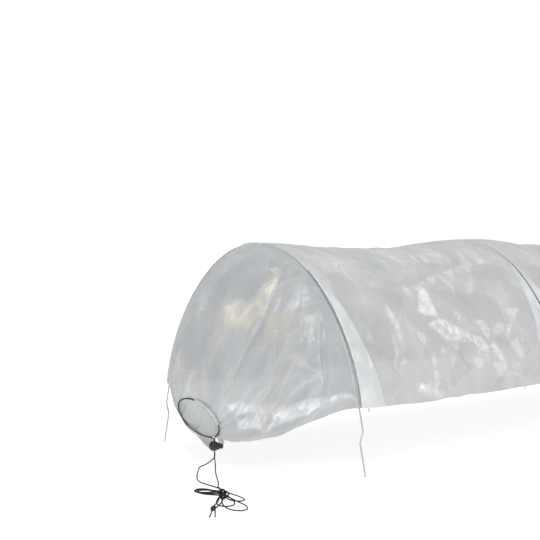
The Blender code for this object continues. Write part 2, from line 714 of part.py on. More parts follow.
def make_end(word, x, turn, hank, straight_places, slack_places, arrivals):
    """The end sleeve with its cord, cord lock and hank, in the frame of that end's hoop."""
    frame = bpy.data.objects.new(f"end_{word}", None)
    PARTS.objects.link(frame)
    frame.location.x = x
    frame.rotation_euler.z = turn
    film_piece(f"cover_end_{word}", END_COLUMN_COUNT, END_ROW_COUNT + FRILL_ROW_COUNT, end_place, FILM, frame)
    drawcord = drawcord_route()
    add_tube(f"drawcord_{word}", drawcord, CORD_DIAMETER, CORD, frame, resolution=1)

    lock = bpy.data.objects.new(f"lock_{word}", None)
    PARTS.objects.link(lock)
    lock.parent = frame
    lock.location = LOCK_PLACE
    lock.rotation_euler.z = LOCK_TURN
    make_lock_body(f"lock_body_{word}", lock)
    make_plunger(f"lock_plunger_{word}", lock)
    make_spring(f"lock_spring_{word}", lock)

    loops = hank_route(hank)
    wrap = wrap_route(hank)
    straight = tail_route(-1, straight_places, hank, STRAIGHT_ARRIVAL[-arrivals:], loops)
    slack = tail_route(1, slack_places, hank, SLACK_ARRIVAL[-arrivals - 1:], wrap)
    ends = second_end_route(hank, wrap)
    cords = (
        ("cord_straight", straight), ("cord_hank", loops), ("cord_slack", slack), ("cord_wrap", wrap),
        ("cord_end", ends),
    )
    for label, route in cords:
        add_tube(f"{label}_{word}", route, CORD_DIAMETER, CORD, frame, resolution=1)
    for label, route in (("drawcord", drawcord), *cords):
        gap = least_gap(route, CORD_DIAMETER)
        print(f"{label}_{word}: {route_length(route):.3f} m long, least gap to itself {gap * 1000:.2f} mm")


make_hoops()
make_covers()
make_end("left", hoop_x(0), 0, LEFT_HANK, LEFT_STRAIGHT, LEFT_SLACK, len(STRAIGHT_ARRIVAL))
make_end("right", hoop_x(HOOP_COUNT - 1), math.pi, RIGHT_HANK, RIGHT_STRAIGHT, RIGHT_SLACK, 1)
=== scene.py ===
# %% [markdown]
# # A row cover tunnel in clear film
# This lesson dresses a low garden tunnel. Six wire hoops carry a skin of thin, clear film, and at each end
# the film is drawn shut round a neck by a black cord with a spring lock. The tunnel's frame, made
# beforehand, says where everything is. Here every piece gets its fine shape and its finish.
#
# We work in metres, with X along the tunnel, -Y towards the viewer and Z up from the ground.

# %% Load the frame
import math

import bpy
from mathutils import Matrix, Vector, noise


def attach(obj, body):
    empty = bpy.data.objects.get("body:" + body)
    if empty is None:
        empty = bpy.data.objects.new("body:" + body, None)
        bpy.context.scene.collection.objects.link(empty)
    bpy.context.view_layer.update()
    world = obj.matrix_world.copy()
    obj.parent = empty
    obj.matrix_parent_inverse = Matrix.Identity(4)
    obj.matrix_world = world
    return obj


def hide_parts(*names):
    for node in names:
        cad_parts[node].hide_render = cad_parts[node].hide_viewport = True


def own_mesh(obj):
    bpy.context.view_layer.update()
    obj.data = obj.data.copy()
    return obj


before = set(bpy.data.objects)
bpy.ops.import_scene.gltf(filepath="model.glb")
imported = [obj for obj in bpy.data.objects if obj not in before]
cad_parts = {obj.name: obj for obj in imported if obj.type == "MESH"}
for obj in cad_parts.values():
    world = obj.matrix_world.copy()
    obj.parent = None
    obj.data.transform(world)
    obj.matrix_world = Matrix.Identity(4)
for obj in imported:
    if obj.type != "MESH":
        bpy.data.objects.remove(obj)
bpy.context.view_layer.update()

bpy.ops.object.select_all(action="DESELECT")
print("nodes in the frame:", len(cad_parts))

# %% [markdown]
# ## The camera
# The picture looks at the left end from a low stand, a little over the height of the hoops, and turned 44
# degrees from the end's own axis. The lens is long, so the tunnel narrows only slowly with distance. The
# camera comes first, because it shows whether a later change moves the picture away from the real view.

# %% Set the camera
CAMERA_PLACE = (-3.251, -1.835, 0.4376)
CAMERA_TURN = math.radians(-44.168)
CAMERA_DIP = math.radians(2.123)
LENS_MM = 92.9

bpy.ops.object.camera_add(location=CAMERA_PLACE, rotation=(math.pi / 2 - CAMERA_DIP, 0, CAMERA_TURN))
camera = bpy.context.object
camera.name = "camera"
camera.data.lens = LENS_MM
camera.data.sensor_width = 36
bpy.context.scene.camera = camera

# %% [markdown]
# ## The sizes that every piece shares
# The hoops stand 60 cm apart. Each is an arch 50 cm wide at the film's hem, on legs that reach 11.5 cm
# further down. We name these sizes once, and every curve and sheet below is worked out from them, so the
# film can't drift away from its wire.

# %% Name the shared sizes
HOOPS = 6
HOOP_SPACING = 0.600
HOOP_WIDTH = 0.500
ARCH_RISE = 0.276
HEM_HEIGHT = 0.115
SEAT_GAP = 0.0003
WIRE_DIAMETER = 0.003
CROWN_HANDLE_SHARE = 0.53
FOOT_HANDLE_SHARE = 0.43
FOOT_LEAN = math.radians(6)
LEG_LEAN = math.radians(13)
KINK_DROP = 0.039
KINK_HEIGHT = 0.020
KINK_STEP = 0.007
KINK_ROUNDING = 0.005
TIP_LENGTH = 0.004
FILM_LIFT = 0.0022
TUNNEL_LENGTH = HOOP_SPACING * (HOOPS - 1)


def hoop_x(index):
    return -TUNNEL_LENGTH / 2 + HOOP_SPACING * index


def hoop_lay(index, turn=0):
    """Moves what is drawn round the origin to a hoop, and turns it."""
    return Matrix.Translation((hoop_x(index), 0, 0)) @ Matrix.Rotation(turn, 4, "Z")


def half_arch(share):
    """(y, z) over the hem on the hoop's far half, and the way out, for a share from crown to hem."""
    half = HOOP_WIDTH / 2
    foot_handle = FOOT_HANDLE_SHARE * ARCH_RISE
    points = (
        Vector((0, ARCH_RISE)),
        Vector((CROWN_HANDLE_SHARE * half, ARCH_RISE)),
        Vector((half - foot_handle * math.sin(FOOT_LEAN), foot_handle * math.cos(FOOT_LEAN))),
        Vector((half, 0)),
    )
    t, s = share, 1 - share
    place = s**3 * points[0] + 3 * s * s * t * points[1] + 3 * s * t * t * points[2] + t**3 * points[3]
    along = s * s * (points[1] - points[0]) + 2 * s * t * (points[2] - points[1])
    along = (along + t * t * (points[3] - points[2])).normalized()
    return place, Vector((-along.y, along.x))


def arch_point(u, x=0.0, lift=0.0):
    """A point over a hoop. At the near hem u is -1, at the crown 0, at the far hem 1. Lift is outwards."""
    place, out = half_arch(abs(u))
    side = -1 if u < 0 else 1
    return Vector((x, side * (place.x + lift * out.x), HEM_HEIGHT + place.y + lift * out.y))


ARCH_LENGTH = sum((arch_point(i / 100 - 1) - arch_point((i + 1) / 100 - 1)).length for i in range(200))
print(f"film over one hoop from hem to hem: {ARCH_LENGTH:.3f} m")

# %% [markdown]
# ## Nodes made short
# A material is a small graph of nodes. These helpers add a node, set its inputs by name and give back what
# it puts out, so that each finish below reads as a list of what it is made of.

# %% Helpers for materials


def feed(material, node, **inputs):
    """Sets inputs to numbers or colours, or links them to outputs. In their names _ stands for a space."""
    for key, value in inputs.items():
        put_in(material, node.inputs[key.replace("_", " ")], value)


def put_in(material, socket, value):
    if isinstance(value, bpy.types.NodeSocket):
        material.node_tree.links.new(value, socket)
    else:
        socket.default_value = value


def add_node(material, kind, settings=None, **inputs):
    node = material.node_tree.nodes.new("ShaderNode" + kind)
    for key, value in (settings or {}).items():
        setattr(node, key, value)
    feed(material, node, **inputs)
    return node


def work_out(material, operation, *values, kind="Math"):
    """A sum or a product of numbers and outputs."""
    node = add_node(material, kind, {"operation": operation})
    for socket, value in zip(node.inputs, values):
        put_in(material, socket, value)
    return node.outputs[0]


def rescale(material, value, low, high, start, stop, curve="LINEAR"):
    """What runs from low to high is made to run from start to stop, and held at both."""
    node = add_node(material, "MapRange", {"interpolation_type": curve}, Value=value)
    feed(material, node, From_Min=low, From_Max=high, To_Min=start, To_Max=stop)
    return node.outputs["Result"]


def grey_ramp(material, source, stops):
    """A colour ramp from a list of (place, colour), fed by a value."""
    ramp = add_node(material, "ValToRGB", Fac=source)
    while len(ramp.color_ramp.elements) < len(stops):
        ramp.color_ramp.elements.new(0.5)
    for element, (place, colour) in zip(ramp.color_ramp.elements, stops):
        element.position = place
        element.color = (*colour, 1)
    return ramp.outputs["Color"]


def add_bump(material, shader, height, strength, distance):
    bump = add_node(material, "Bump", Strength=strength, Distance=distance, Height=height)
    feed(material, shader, Normal=bump.outputs["Normal"])
    return bump.outputs["Normal"]


def new_material(name, colour, roughness, metallic=0.0):
    material = bpy.data.materials.new(name)
    material.use_nodes = True
    shader = material.node_tree.nodes["Principled BSDF"]
    feed(material, shader, Base_Color=(*colour, 1), Roughness=roughness, Metallic=metallic)
    return material, shader


def finish_piece(piece, body, material, stands_for=None):
    """Gives a finished piece its body and its material, and hides the frame's piece that it stands for."""
    piece.data.materials.clear()
    piece.data.materials.append(material)
    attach(piece, body)
    if stands_for:
        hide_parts(stands_for)

# %% [markdown]
# ## Galvanised wire
# The hoops are drawn steel wire with a zinc coat: a cool grey metal, neither mirror-bright nor dull, with
# faint spots where the zinc froze. Noise makes the spots, and a very low bump gives it the draw marks. The
# wire is painted brighter on the legs and the foot of the arch, so that the rest of the arch, which the film
# covers, is left darker as painted shade.

# %% Make the wire's finish
PAINTED_LIGHT_BELOW = 0.10
PAINTED_SHADE_ABOVE = 0.24
PAINTED_LIGHT_BRIGHTNESS = 0.30

wire_finish, wire_shader = new_material("galvanised_wire", (0.25, 0.28, 0.29), 0.42, 0.5)
wire_place = add_node(wire_finish, "TexCoord").outputs["Object"]
wire_noise = add_node(wire_finish, "TexNoise", Vector=wire_place, Scale=420.0, Detail=4.0, Roughness=0.6)
wire_spots = wire_noise.outputs["Fac"]
wire_colour = grey_ramp(wire_finish, wire_spots, [(0.32, (0.16, 0.19, 0.195)), (0.68, (0.27, 0.305, 0.31))])
wire_height = add_node(wire_finish, "SeparateXYZ", Vector=wire_place).outputs["Z"]
# Painted light: brighter below 10 cm and fading out by 24 cm, so the arch under the film looks shaded.
wire_painted_light = rescale(wire_finish, wire_height, PAINTED_LIGHT_BELOW, PAINTED_SHADE_ABOVE, PAINTED_LIGHT_BRIGHTNESS, 0.0)
wire_bright = work_out(wire_finish, "ADD", wire_colour, wire_painted_light, kind="VectorMath")
feed(wire_finish, wire_shader, Base_Color=wire_bright)
add_bump(wire_finish, wire_shader, wire_spots, 0.25, 0.0001)

# %% [markdown]
# ## Clear film
# Thin film isn't as clear as glass. It scatters most of the light and lets only a little of what is behind
# it through, so one layer looks like a pale grey veil. The veil is uneven, and every crease catches the
# light. Alpha gives the see-through share, and noise on the sheet's own map makes it uneven. Film that is
# pressed against a wire lets it show, so along that edge the alpha falls.
#
# Film that has been creased is made of flat facets, and each is a little darker or paler than the next. Two
# sizes of Voronoi cells paint these tones on as painted light and shade, and thin pale lines between facets
# are painted glints. Each sheet carries painted highlights, painted warm reflections and painted shade as
# an attribute, which a third, finer set of cells breaks into shards. Creases too fine to model come from
# ridged noise and cells in the bump, and a clear coat gives the glints.

# %% Make the films' finishes
WIRE_SHOWS = 0.02
WIRE_MASK_START = 0.0011
WIRE_MASK_STOP = 0.0021
END_MASK_SHARE = 1.7
FILM_WARP = 0.035
SHARD_SCALE = 95.0
FACET_SCALE = 17.0
CRUMB_SCALE = 46.0
FACET_SHADING = 0.030
CRUMB_SHADING = 0.018
GLINT_WIDTH_SHARE = 0.03
GLINT_TONE = 0.07
RIDGE_SHARE = 0.16
CREASE_DISTANCE = 0.010
MOTTLE_STOPS = (0.34, 0.52, 0.68)


def cells(film, place, scale, feature="F1"):
    return add_node(film, "TexVoronoi", {"feature": feature}, Vector=place, Scale=scale).outputs


def painted_facet_shading(film, place, scale, tone):
    """Painted light and shade: each facet is a little darker or paler than the next, by at most this much.
    """
    return rescale(film, cells(film, place, scale)["Color"], 0.0, 1.0, -tone, tone)


def crease_glints(film, place, mottle):
    """Painted glints: thin pale lines between facets about 6 cm wide, but only where the mottle is pale."""
    edge = cells(film, place, FACET_SCALE, "DISTANCE_TO_EDGE")["Distance"]
    line = rescale(film, edge, 0.0, GLINT_WIDTH_SHARE, GLINT_TONE, 0.0, "SMOOTHSTEP")
    return work_out(film, "MULTIPLY", line, rescale(film, mottle, 0.44, 0.60, 0.0, 1.0))


def crease_height(film, place):
    """Facets about 6 cm wide, each a shallow cone, with finer sharp ridges on them."""
    ridges = add_node(
        film, "TexNoise", {"noise_type": "RIDGED_MULTIFRACTAL"}, Vector=place,
        Scale=15.0, Detail=4.0, Roughness=0.45, Lacunarity=2.1, Offset=0.9, Gain=1.6,
    )
    cones = cells(film, place, FACET_SCALE)["Distance"]
    return work_out(film, "MULTIPLY_ADD", ridges.outputs["Fac"], RIDGE_SHARE, cones)


def wire_mask(film, away, share):
    """The alpha falls to WIRE_SHOWS of itself within about 2 mm of the wire, or more where share says so."""
    start, stop = WIRE_MASK_START * share, WIRE_MASK_STOP * share
    return rescale(film, away, start, stop, WIRE_SHOWS, 1.0, "SMOOTHSTEP")


def make_film(name, colours, alphas, crease_strength, wire_edge=None):
    film, shader = new_material(name, colours[0], 0.48)
    flat = add_node(film, "UVMap", {"uv_map": "UVMap"}).outputs["UV"]
    warp = add_node(film, "TexNoise", Vector=flat, Scale=5.0, Detail=3.0, Roughness=0.6).outputs["Color"]
    place = work_out(film, "MULTIPLY_ADD", warp, (FILM_WARP, FILM_WARP, 0.0), flat, kind="VectorMath")
    mottle = add_node(film, "TexNoise", Vector=place, Scale=11.0, Detail=5.0, Roughness=0.55).outputs["Fac"]
    colour = grey_ramp(film, mottle, list(zip(MOTTLE_STOPS, colours)))
    # Painted light and shade of the facets, at two sizes of cell.
    facets = painted_facet_shading(film, place, FACET_SCALE, FACET_SHADING)
    facet_shading = work_out(film, "ADD", facets, painted_facet_shading(film, place, CRUMB_SCALE, CRUMB_SHADING))
    # Painted glints along the crease lines.
    facet_shading_and_glints = work_out(film, "ADD", facet_shading, crease_glints(film, place, mottle))
    lined = work_out(film, "ADD", colour, facet_shading_and_glints, kind="VectorMath")
    # Painted highlights, painted warm reflections and painted shade that each sheet carries, broken into
    # shards.
    shards = rescale(film, cells(film, flat, SHARD_SCALE)["Color"], 0.25, 0.75, 0.7, 1.85)
    painted_light = add_node(film, "Attribute", {"attribute_name": "painted_light"}).outputs["Color"]
    painted = work_out(film, "MULTIPLY_ADD", painted_light, shards, lined, kind="VectorMath")
    alpha = rescale(film, mottle, 0.3, 0.7, *alphas)
    if wire_edge:
        away = add_node(film, "SeparateXYZ", Vector=flat).outputs
        if wire_edge == "both sides":
            mask = wire_mask(film, work_out(film, "PINGPONG", away["X"], HOOP_SPACING / 2), 1.0)
        else:
            mask = wire_mask(film, away["Y"], END_MASK_SHARE)
        alpha = work_out(film, "MULTIPLY", alpha, mask)
    feed(film, shader, IOR=1.48, Coat_Weight=0.45, Coat_Roughness=0.13, Base_Color=painted, Alpha=alpha)
    normal = add_bump(film, shader, crease_height(film, place), crease_strength, CREASE_DISTANCE)
    feed(film, shader, Coat_Normal=normal)
    return film


BAY_COLOURS = [(0.458, 0.465, 0.466), (0.500, 0.501, 0.498), (0.548, 0.543, 0.532)]
END_COLOURS = [(0.450, 0.463, 0.471), (0.492, 0.500, 0.504), (0.540, 0.542, 0.538)]
DOUBLE_COLOURS = [(0.68, 0.695, 0.70), (0.75, 0.76, 0.76), (0.84, 0.84, 0.83)]
FILM = make_film("clear_film", BAY_COLOURS, (0.93, 0.98), 0.45, "both sides")
END_FILM = make_film("end_film", END_COLOURS, (0.93, 0.98), 0.45, "start")
DOUBLE_FILM = make_film("double_film", DOUBLE_COLOURS, (0.82, 0.95), 0.8)

# %% [markdown]
# ## Black cord
# The drawcord is a 2 mm braid. Two wave patterns that cross at a steep angle, laid on the cord's own map,
# give the plait. A curve's map runs from 0 to 1 along it, so we scale it by the cord's length.

# %% Make the cord's finish
BRAID_WAVES_PER_METRE = 420
BRAID_WAVES_ROUND = 3.0
BRAID_COLOURS = [(0.2, (0.003, 0.003, 0.004)), (0.9, (0.014, 0.014, 0.015))]


def make_cord_finish(length):
    braid, shader = new_material("black_cord", (0.006, 0.006, 0.007), 0.80)
    flat = add_node(braid, "UVMap", {"uv_map": "UVMap"}).outputs["UV"]
    heights = []
    for lean in (1, -1):
        lay = add_node(
            braid, "Mapping", Vector=flat, Scale=(length * BRAID_WAVES_PER_METRE, BRAID_WAVES_ROUND, 1),
            Rotation=(0, 0, math.radians(45 * lean)),
        )
        wave = add_node(
            braid, "TexWave", {"wave_type": "BANDS"}, Vector=lay.outputs["Vector"], Scale=1.0, Distortion=0.4
        )
        heights.append(wave.outputs["Fac"])
    plait = work_out(braid, "MAXIMUM", *heights)
    colour = grey_ramp(braid, plait, BRAID_COLOURS)
    feed(braid, shader, Specular_IOR_Level=0.25, Sheen_Weight=0.04, Base_Color=colour)
    add_bump(braid, shader, plait, 0.6, 0.0003)
    return braid

# %% [markdown]
# ## Moulded plastic and spring steel
# The lock is black plastic with a fine spark-eroded grain that takes the edge off its gloss. The spring
# inside is bright steel.

# %% Make the lock's finishes


def make_grained(name, colour, roughness, metallic, gloss, scale, detail):
    """A plain colour whose gloss runs between two values with a fine grain."""
    material, shader = new_material(name, colour, roughness, metallic)
    place = add_node(material, "TexCoord").outputs["Object"]
    grain = add_node(material, "TexNoise", Vector=place, Scale=scale, Detail=detail).outputs["Fac"]
    feed(material, shader, Roughness=rescale(material, grain, 0.0, 1.0, *gloss))
    return material, shader, grain


plastic, plastic_shader, plastic_grain = make_grained(
    "black_plastic", (0.020, 0.020, 0.022), 0.36, 0.0, (0.30, 0.46), 2600.0, 3.0
)
add_bump(plastic, plastic_shader, plastic_grain, 0.2, 0.0001)
steel = make_grained("spring_steel", (0.60, 0.60, 0.58), 0.28, 1.0, (0.22, 0.36), 900.0, 2.0)[0]

# %% [markdown]
# ## Smooth routes
# Wires and cords are curves. Each is given by a short list of places, and a smooth curve is run through
# them and cut into even steps. The same steps are in the frame, so the fine cord follows the frame's cord.

# %% Helpers for wires and cords


def route_length(route):
    return sum((b - a).length for a, b in zip(route, route[1:]))


def spread_evenly(dense, count):
    """The same route in this many steps of one length."""
    lengths = [0.0]
    for start, stop in zip(dense, dense[1:]):
        lengths.append(lengths[-1] + (stop - start).length)
    route, place = [], 0
    for index in range(count + 1):
        wanted = lengths[-1] * index / count
        while place < len(lengths) - 2 and lengths[place + 1] < wanted:
            place += 1
        span = lengths[place + 1] - lengths[place]
        share = (wanted - lengths[place]) / span if span else 0
        route.append(dense[place].lerp(dense[place + 1], min(1, share)))
    return route


def smooth_route(points, step):
    """Points about step apart on a smooth curve through all the given points."""
    ends = [points[0] * 2 - points[1], *points, points[-1] * 2 - points[-2]]
    dense = []
    for before, start, stop, after in zip(ends, ends[1:], ends[2:], ends[3:]):
        pieces = max(2, round((stop - start).length / step * 4))
        for index in range(pieces):
            t = index / pieces
            point = 2 * start + (stop - before) * t + (2 * before - 5 * start + 4 * stop - after) * t**2
            dense.append(0.5 * (point + (3 * start - before - 3 * stop + after) * t**3))
    dense.append(points[-1])
    return spread_evenly(dense, max(2, round(route_length(dense) / step)))


def add_tube(name, route, diameter, sides=3):
    """A round wire or cord: a curve with a bevel, whose own map runs along it."""
    curve = bpy.data.curves.new(name, "CURVE")
    curve.dimensions = "3D"
    curve.bevel_depth = diameter / 2
    curve.bevel_resolution = sides
    curve.use_fill_caps = True
    spline = curve.splines.new("POLY")
    spline.points.add(len(route) - 1)
    for slot, point in zip(spline.points, route):
        slot.co = (*point, 1)
    spline.use_smooth = True
    tube = bpy.data.objects.new(name, curve)
    bpy.context.collection.objects.link(tube)
    return tube

# %% [markdown]
# ## The hoops
# A hoop is one length of wire, bent over a former. Its arch rises steeply from the hem and rounds over the
# crown. Each leg leans outwards, steps in at a short kink that stops it sinking too far, and leans out
# again to its tip. A curve with a round bevel is how one would draw it by hand.

# %% Bend the hoops


def rounded(points, radius):
    result = [points[0]]
    for before, corner, after in zip(points, points[1:], points[2:]):
        result.append(corner + (before - corner).normalized() * radius)
        result.append(corner.lerp((before + after) / 2, radius / (before - after).length / 2))
        result.append(corner + (after - corner).normalized() * radius)
    result.append(points[-1])
    return result


def leg_points():
    lean = math.tan(LEG_LEAN)
    half = HOOP_WIDTH / 2
    kink_top = Vector((half + lean * KINK_DROP, HEM_HEIGHT - KINK_DROP))
    kink_foot = kink_top + Vector((-KINK_STEP, -KINK_HEIGHT))
    tip_top = Vector((kink_foot.x + lean * (kink_foot.y - TIP_LENGTH), TIP_LENGTH))
    corners = [Vector((half, HEM_HEIGHT)), kink_top, kink_foot, tip_top]
    return rounded(corners, KINK_ROUNDING)[1:] + [Vector((tip_top.x, 0))]


ARCH_STEPS = 96
leg = leg_points()
for index in range(HOOPS):
    x = hoop_x(index)
    near = [Vector((x, -p.x, p.y)) for p in reversed(leg)]
    far = [Vector((x, p.x, p.y)) for p in leg]
    arch = [arch_point(step / ARCH_STEPS * 2 - 1, x) for step in range(ARCH_STEPS + 1)]
    hoop = add_tube(f"wire_hoop_{index + 1}", near + arch + far, WIRE_DIAMETER)
    finish_piece(hoop, f"hoop_group_{index + 1}", wire_finish, f"hoop_{index + 1}")
print(f"wire in one hoop: {route_length(near + arch + far):.3f} m")

# %% [markdown]
# ## How film creases
# Film that has been folded in a box never lies smooth again. It falls into flat facets with sharp lines
# between them. The absolute value of smooth noise does just that: it is smooth except where the noise
# crosses zero, and there it has a sharp valley. We bend the noise's own place with a second noise, so the
# lines wander, and add two finer sizes on top.
#
# What the picture shows in one place only is added one by one, on the sheet's own map. A fold is a line with
# a width and a depth. A flat is a facet with crisp edges that catches the light all over. Both say how much
# paler and warmer the film is there, and that goes into the paint.
# Paler film there is a painted highlight, darker film is painted shade, and warmer film is a painted warm
# reflection.

# %% Helpers for film
NO_PAINTED_LIGHT = (0.0, 0.0, 0.0)
FLAT_EDGE = 0.0016
FOLD_REACH = 3
FOLD_STRAY = 0.004
FOLD_STRAYS_PER_METRE = 30
FOLD_STRAY_SEED = 1
CRUMPLE_REST = 0.0016
CRUMPLE_SIZES = (
    # Height, stretch across and along, seed step and size of each set of creases.
    (0.0150, 1, 1, 0, 0.16),
    (-0.0070, 1.3, 0.8, 5, 0.07),
    (0.0020, 1, 0.7, 9, 0.03),
)

# Vector noise starts from the clock until it has a seed. With one, the folds fall alike on every run.
noise.seed_set(FOLD_STRAY_SEED)


def creases(a, b, seed, size):
    """Sharp valleys about size apart, from 0 to about 0.5, at a place on the sheet in metres."""
    place = Vector((a / size, b / size, seed))
    bend = noise.noise(place * 0.6 + Vector((7.3, 1.9, 4.1)))
    return abs(noise.noise(place + Vector((bend, -bend, bend)) * 0.8))


def crumple(a, b, seed):
    """How far the film stands off its smooth form here, in metres."""
    return sum(
        high * creases(a * across, b * along, seed + step, size)
        for high, across, along, step, size in CRUMPLE_SIZES
    ) - CRUMPLE_REST


def near_line(a, b, line):
    """How far a place on the sheet is from a bent line, and how far along the line, from 0 to 1."""
    nearest, share = 9.0, 0.0
    for index, ((x0, y0), (x1, y1)) in enumerate(zip(line, line[1:])):
        dx, dy = x1 - x0, y1 - y0
        t = max(0.0, min(1.0, ((a - x0) * dx + (b - y0) * dy) / (dx * dx + dy * dy)))
        off = math.hypot(a - x0 - t * dx, b - y0 - t * dy)
        if off < nearest:
            nearest, share = off, (index + t) / (len(line) - 1)
    return nearest, share


def lay_out(marks, unit, place, reach):
    """Folds or flats with their points in metres on the sheet, and the box that each one reaches over."""
    laid = []
    for points, *rest in marks:
        points = [place(a / unit, b / unit) for a, b in points]
        low = [min(point[axis] for point in points) - reach(*rest) for axis in (0, 1)]
        high = [max(point[axis] for point in points) + reach(*rest) for axis in (0, 1)]
        laid.append((points, low, high, *rest))
    return laid


def lay_out_folds(folds, unit, place):
    return lay_out(folds, unit, place, lambda width, depth, pale, warm: FOLD_REACH * width)


def lay_out_flats(flats, unit, place):
    return lay_out(flats, unit, place, lambda pale, warm: FLAT_EDGE)


def marks_near(a, b, marks):
    for points, low, high, *rest in marks:
        if low[0] < a < high[0] and low[1] < b < high[1]:
            yield points, *rest


def fold_here(a, b, seed, folds):
    """How far the folds stand off here, and their painted light and shade: how much paler they make the
    film, and how much warmer.
    """
    place = Vector((a * FOLD_STRAYS_PER_METRE, b * FOLD_STRAYS_PER_METRE, seed))
    stray = noise.noise_vector(place) * FOLD_STRAY
    a, b = a + stray.x, b + stray.y
    stand = pale = warm = 0.0
    for line, width, depth, paler, warmer in marks_near(a, b, folds):
        off, share = near_line(a, b, line)
        fade = 0.4 + 0.6 * math.sin(math.pi * share)
        core = fade * math.exp(-((off / width) ** 2))
        stand += depth * fade * math.exp(-off / width)
        pale += paler * core
        warm += warmer * core
    return stand, pale, warm


def flats_here(a, b, flats):
    """The flats' painted light and shade here: how much paler they make the film, and how much warmer. Each
    has one tone all over.
    """
    pale = warm = 0.0
    for corners, paler, warmer in marks_near(a, b, flats):
        inside = False
        for (x0, y0), (x1, y1) in zip(corners, corners[1:] + corners[:1]):
            if (y0 > b) != (y1 > b) and a < x0 + (b - y0) * (x1 - x0) / (y1 - y0):
                inside = not inside
        off = near_line(a, b, corners + corners[:1])[0] * (1 if inside else -1)
        share = max(0.0, min(1.0, off / FLAT_EDGE * 0.5 + 0.5))
        pale += paler * share
        warm += warmer * share
    return pale, warm


def tint(pale, warm):
    """Paler film in red, green and blue: a painted highlight, or painted shade below zero. Warmer film, a
    painted warm reflection, has more red and less blue.
    """
    return pale + warm, pale + 0.5 * warm, pale - 0.4 * warm


def add_film(name, columns, rows, width, length, place, narrow=None, lay=Matrix()):
    """A sheet: a grid whose points and painted light and shade are what place(across, along) says, with a
    map in metres.

    Where a sheet is gathered, narrow says how much of its width is left at a share along. Lay moves the
    points to their hoop."""
    bpy.ops.mesh.primitive_grid_add(x_subdivisions=columns, y_subdivisions=rows, size=1)
    sheet = bpy.context.object
    sheet.name = name
    sheet.data.name = name
    painted_light = sheet.data.attributes.new("painted_light", "FLOAT_COLOR", "POINT")
    for vertex in sheet.data.vertices:
        point, colour = place(vertex.co.x + 0.5, vertex.co.y + 0.5)
        vertex.co = lay @ point
        painted_light.data[vertex.index].color = (*colour, 1)
    for loop in sheet.data.uv_layers["UVMap"].data:
        left = narrow(loop.uv[1]) if narrow else 1
        loop.uv = ((0.5 + (loop.uv[0] - 0.5) * left) * width, loop.uv[1] * length)
    sheet.data.shade_smooth()
    sheet.select_set(False)
    return sheet


def finish_sheet(sheet, hoop, slot, material, stands_for=None, **facts):
    """Gives a sheet its finish. The facts of how big it is when flat, how it is held and on what it rests
    are not used.
    """
    finish_piece(sheet, f"hoop_group_{hoop}", material, stands_for)


def fold_with_bay(sheet):
    """Gives the sheet a mesh of its own."""
    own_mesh(sheet)

# %% [markdown]
# ## The bays
# The film spans from hoop to hoop like a slack saddle: it touches the wires and sags about 16 mm between
# them. Low down it hangs a little looser. Each bay gets its own seed, so that no two crease alike, and the
# film lies still where it is held on the wires.

# %% Hang the film between the hoops
BAY_SAG = 0.016
BAY_CREASE = 0.003
BAY_HEM_SHARE = 0.06
BAY_HEM_DROP = 0.004
BAY_HEM_WAVE = 0.006
BAY_CROWN_CREASE_SHARE = 0.55

# Each fold: points in centimetres from one hoop and hundredths of the way from crown to hem; then its width
# and depth in metres, and how much paler and warmer it is.
# Paler is a painted highlight and warmer is a painted warm reflection. Below zero both are painted shade.
BAY_FOLDS = (
    (((2, 23), (10, 34), (19, 42), (28, 42), (36, 35), (56, 27)), 0.016, -0.01, -0.025, 0),
    (((0, 44), (7, 51), (17, 60), (28, 79), (35, 90)), 0.014, 0.009, 0.02, 0),
    (((28, 42), (28, 52), (28, 62), (31, 70), (36, 76), (41, 80)), 0.013, 0.01, 0.03, 0.01),
    (((34, 44), (30, 57), (35, 65), (43, 67), (52, 75)), 0.012, -0.006, 0.01, 0),
    (((1, 65), (10, 76), (14, 93)), 0.01, -0.006, -0.03, 0),
    (((14, 51), (16, 66), (15, 77)), 0.014, 0.007, 0.04, 0.01),
    (((36, 53), (47, 62), (55, 68)), 0.012, -0.006, -0.03, 0),
    (((40, 64), (41, 75), (43, 88), (43, 96)), 0.011, 0.006, 0.05, 0.01),
    (((49, 55), (50, 68), (52, 80)), 0.012, 0.006, 0.03, 0),
    (((17, 93), (19, 95), (23, 98)), 0.008, 0.004, 0.14, 0.02),
    (((19, 67), (23, 78), (21, 95)), 0.01, -0.005, 0.02, 0),
    (((24, 62), (33, 82), (36, 97)), 0.03, -0.004, -0.04, -0.015),
    (((12, 27), (30, 24), (41, 28)), 0.012, 0.006, 0.02, 0),
)

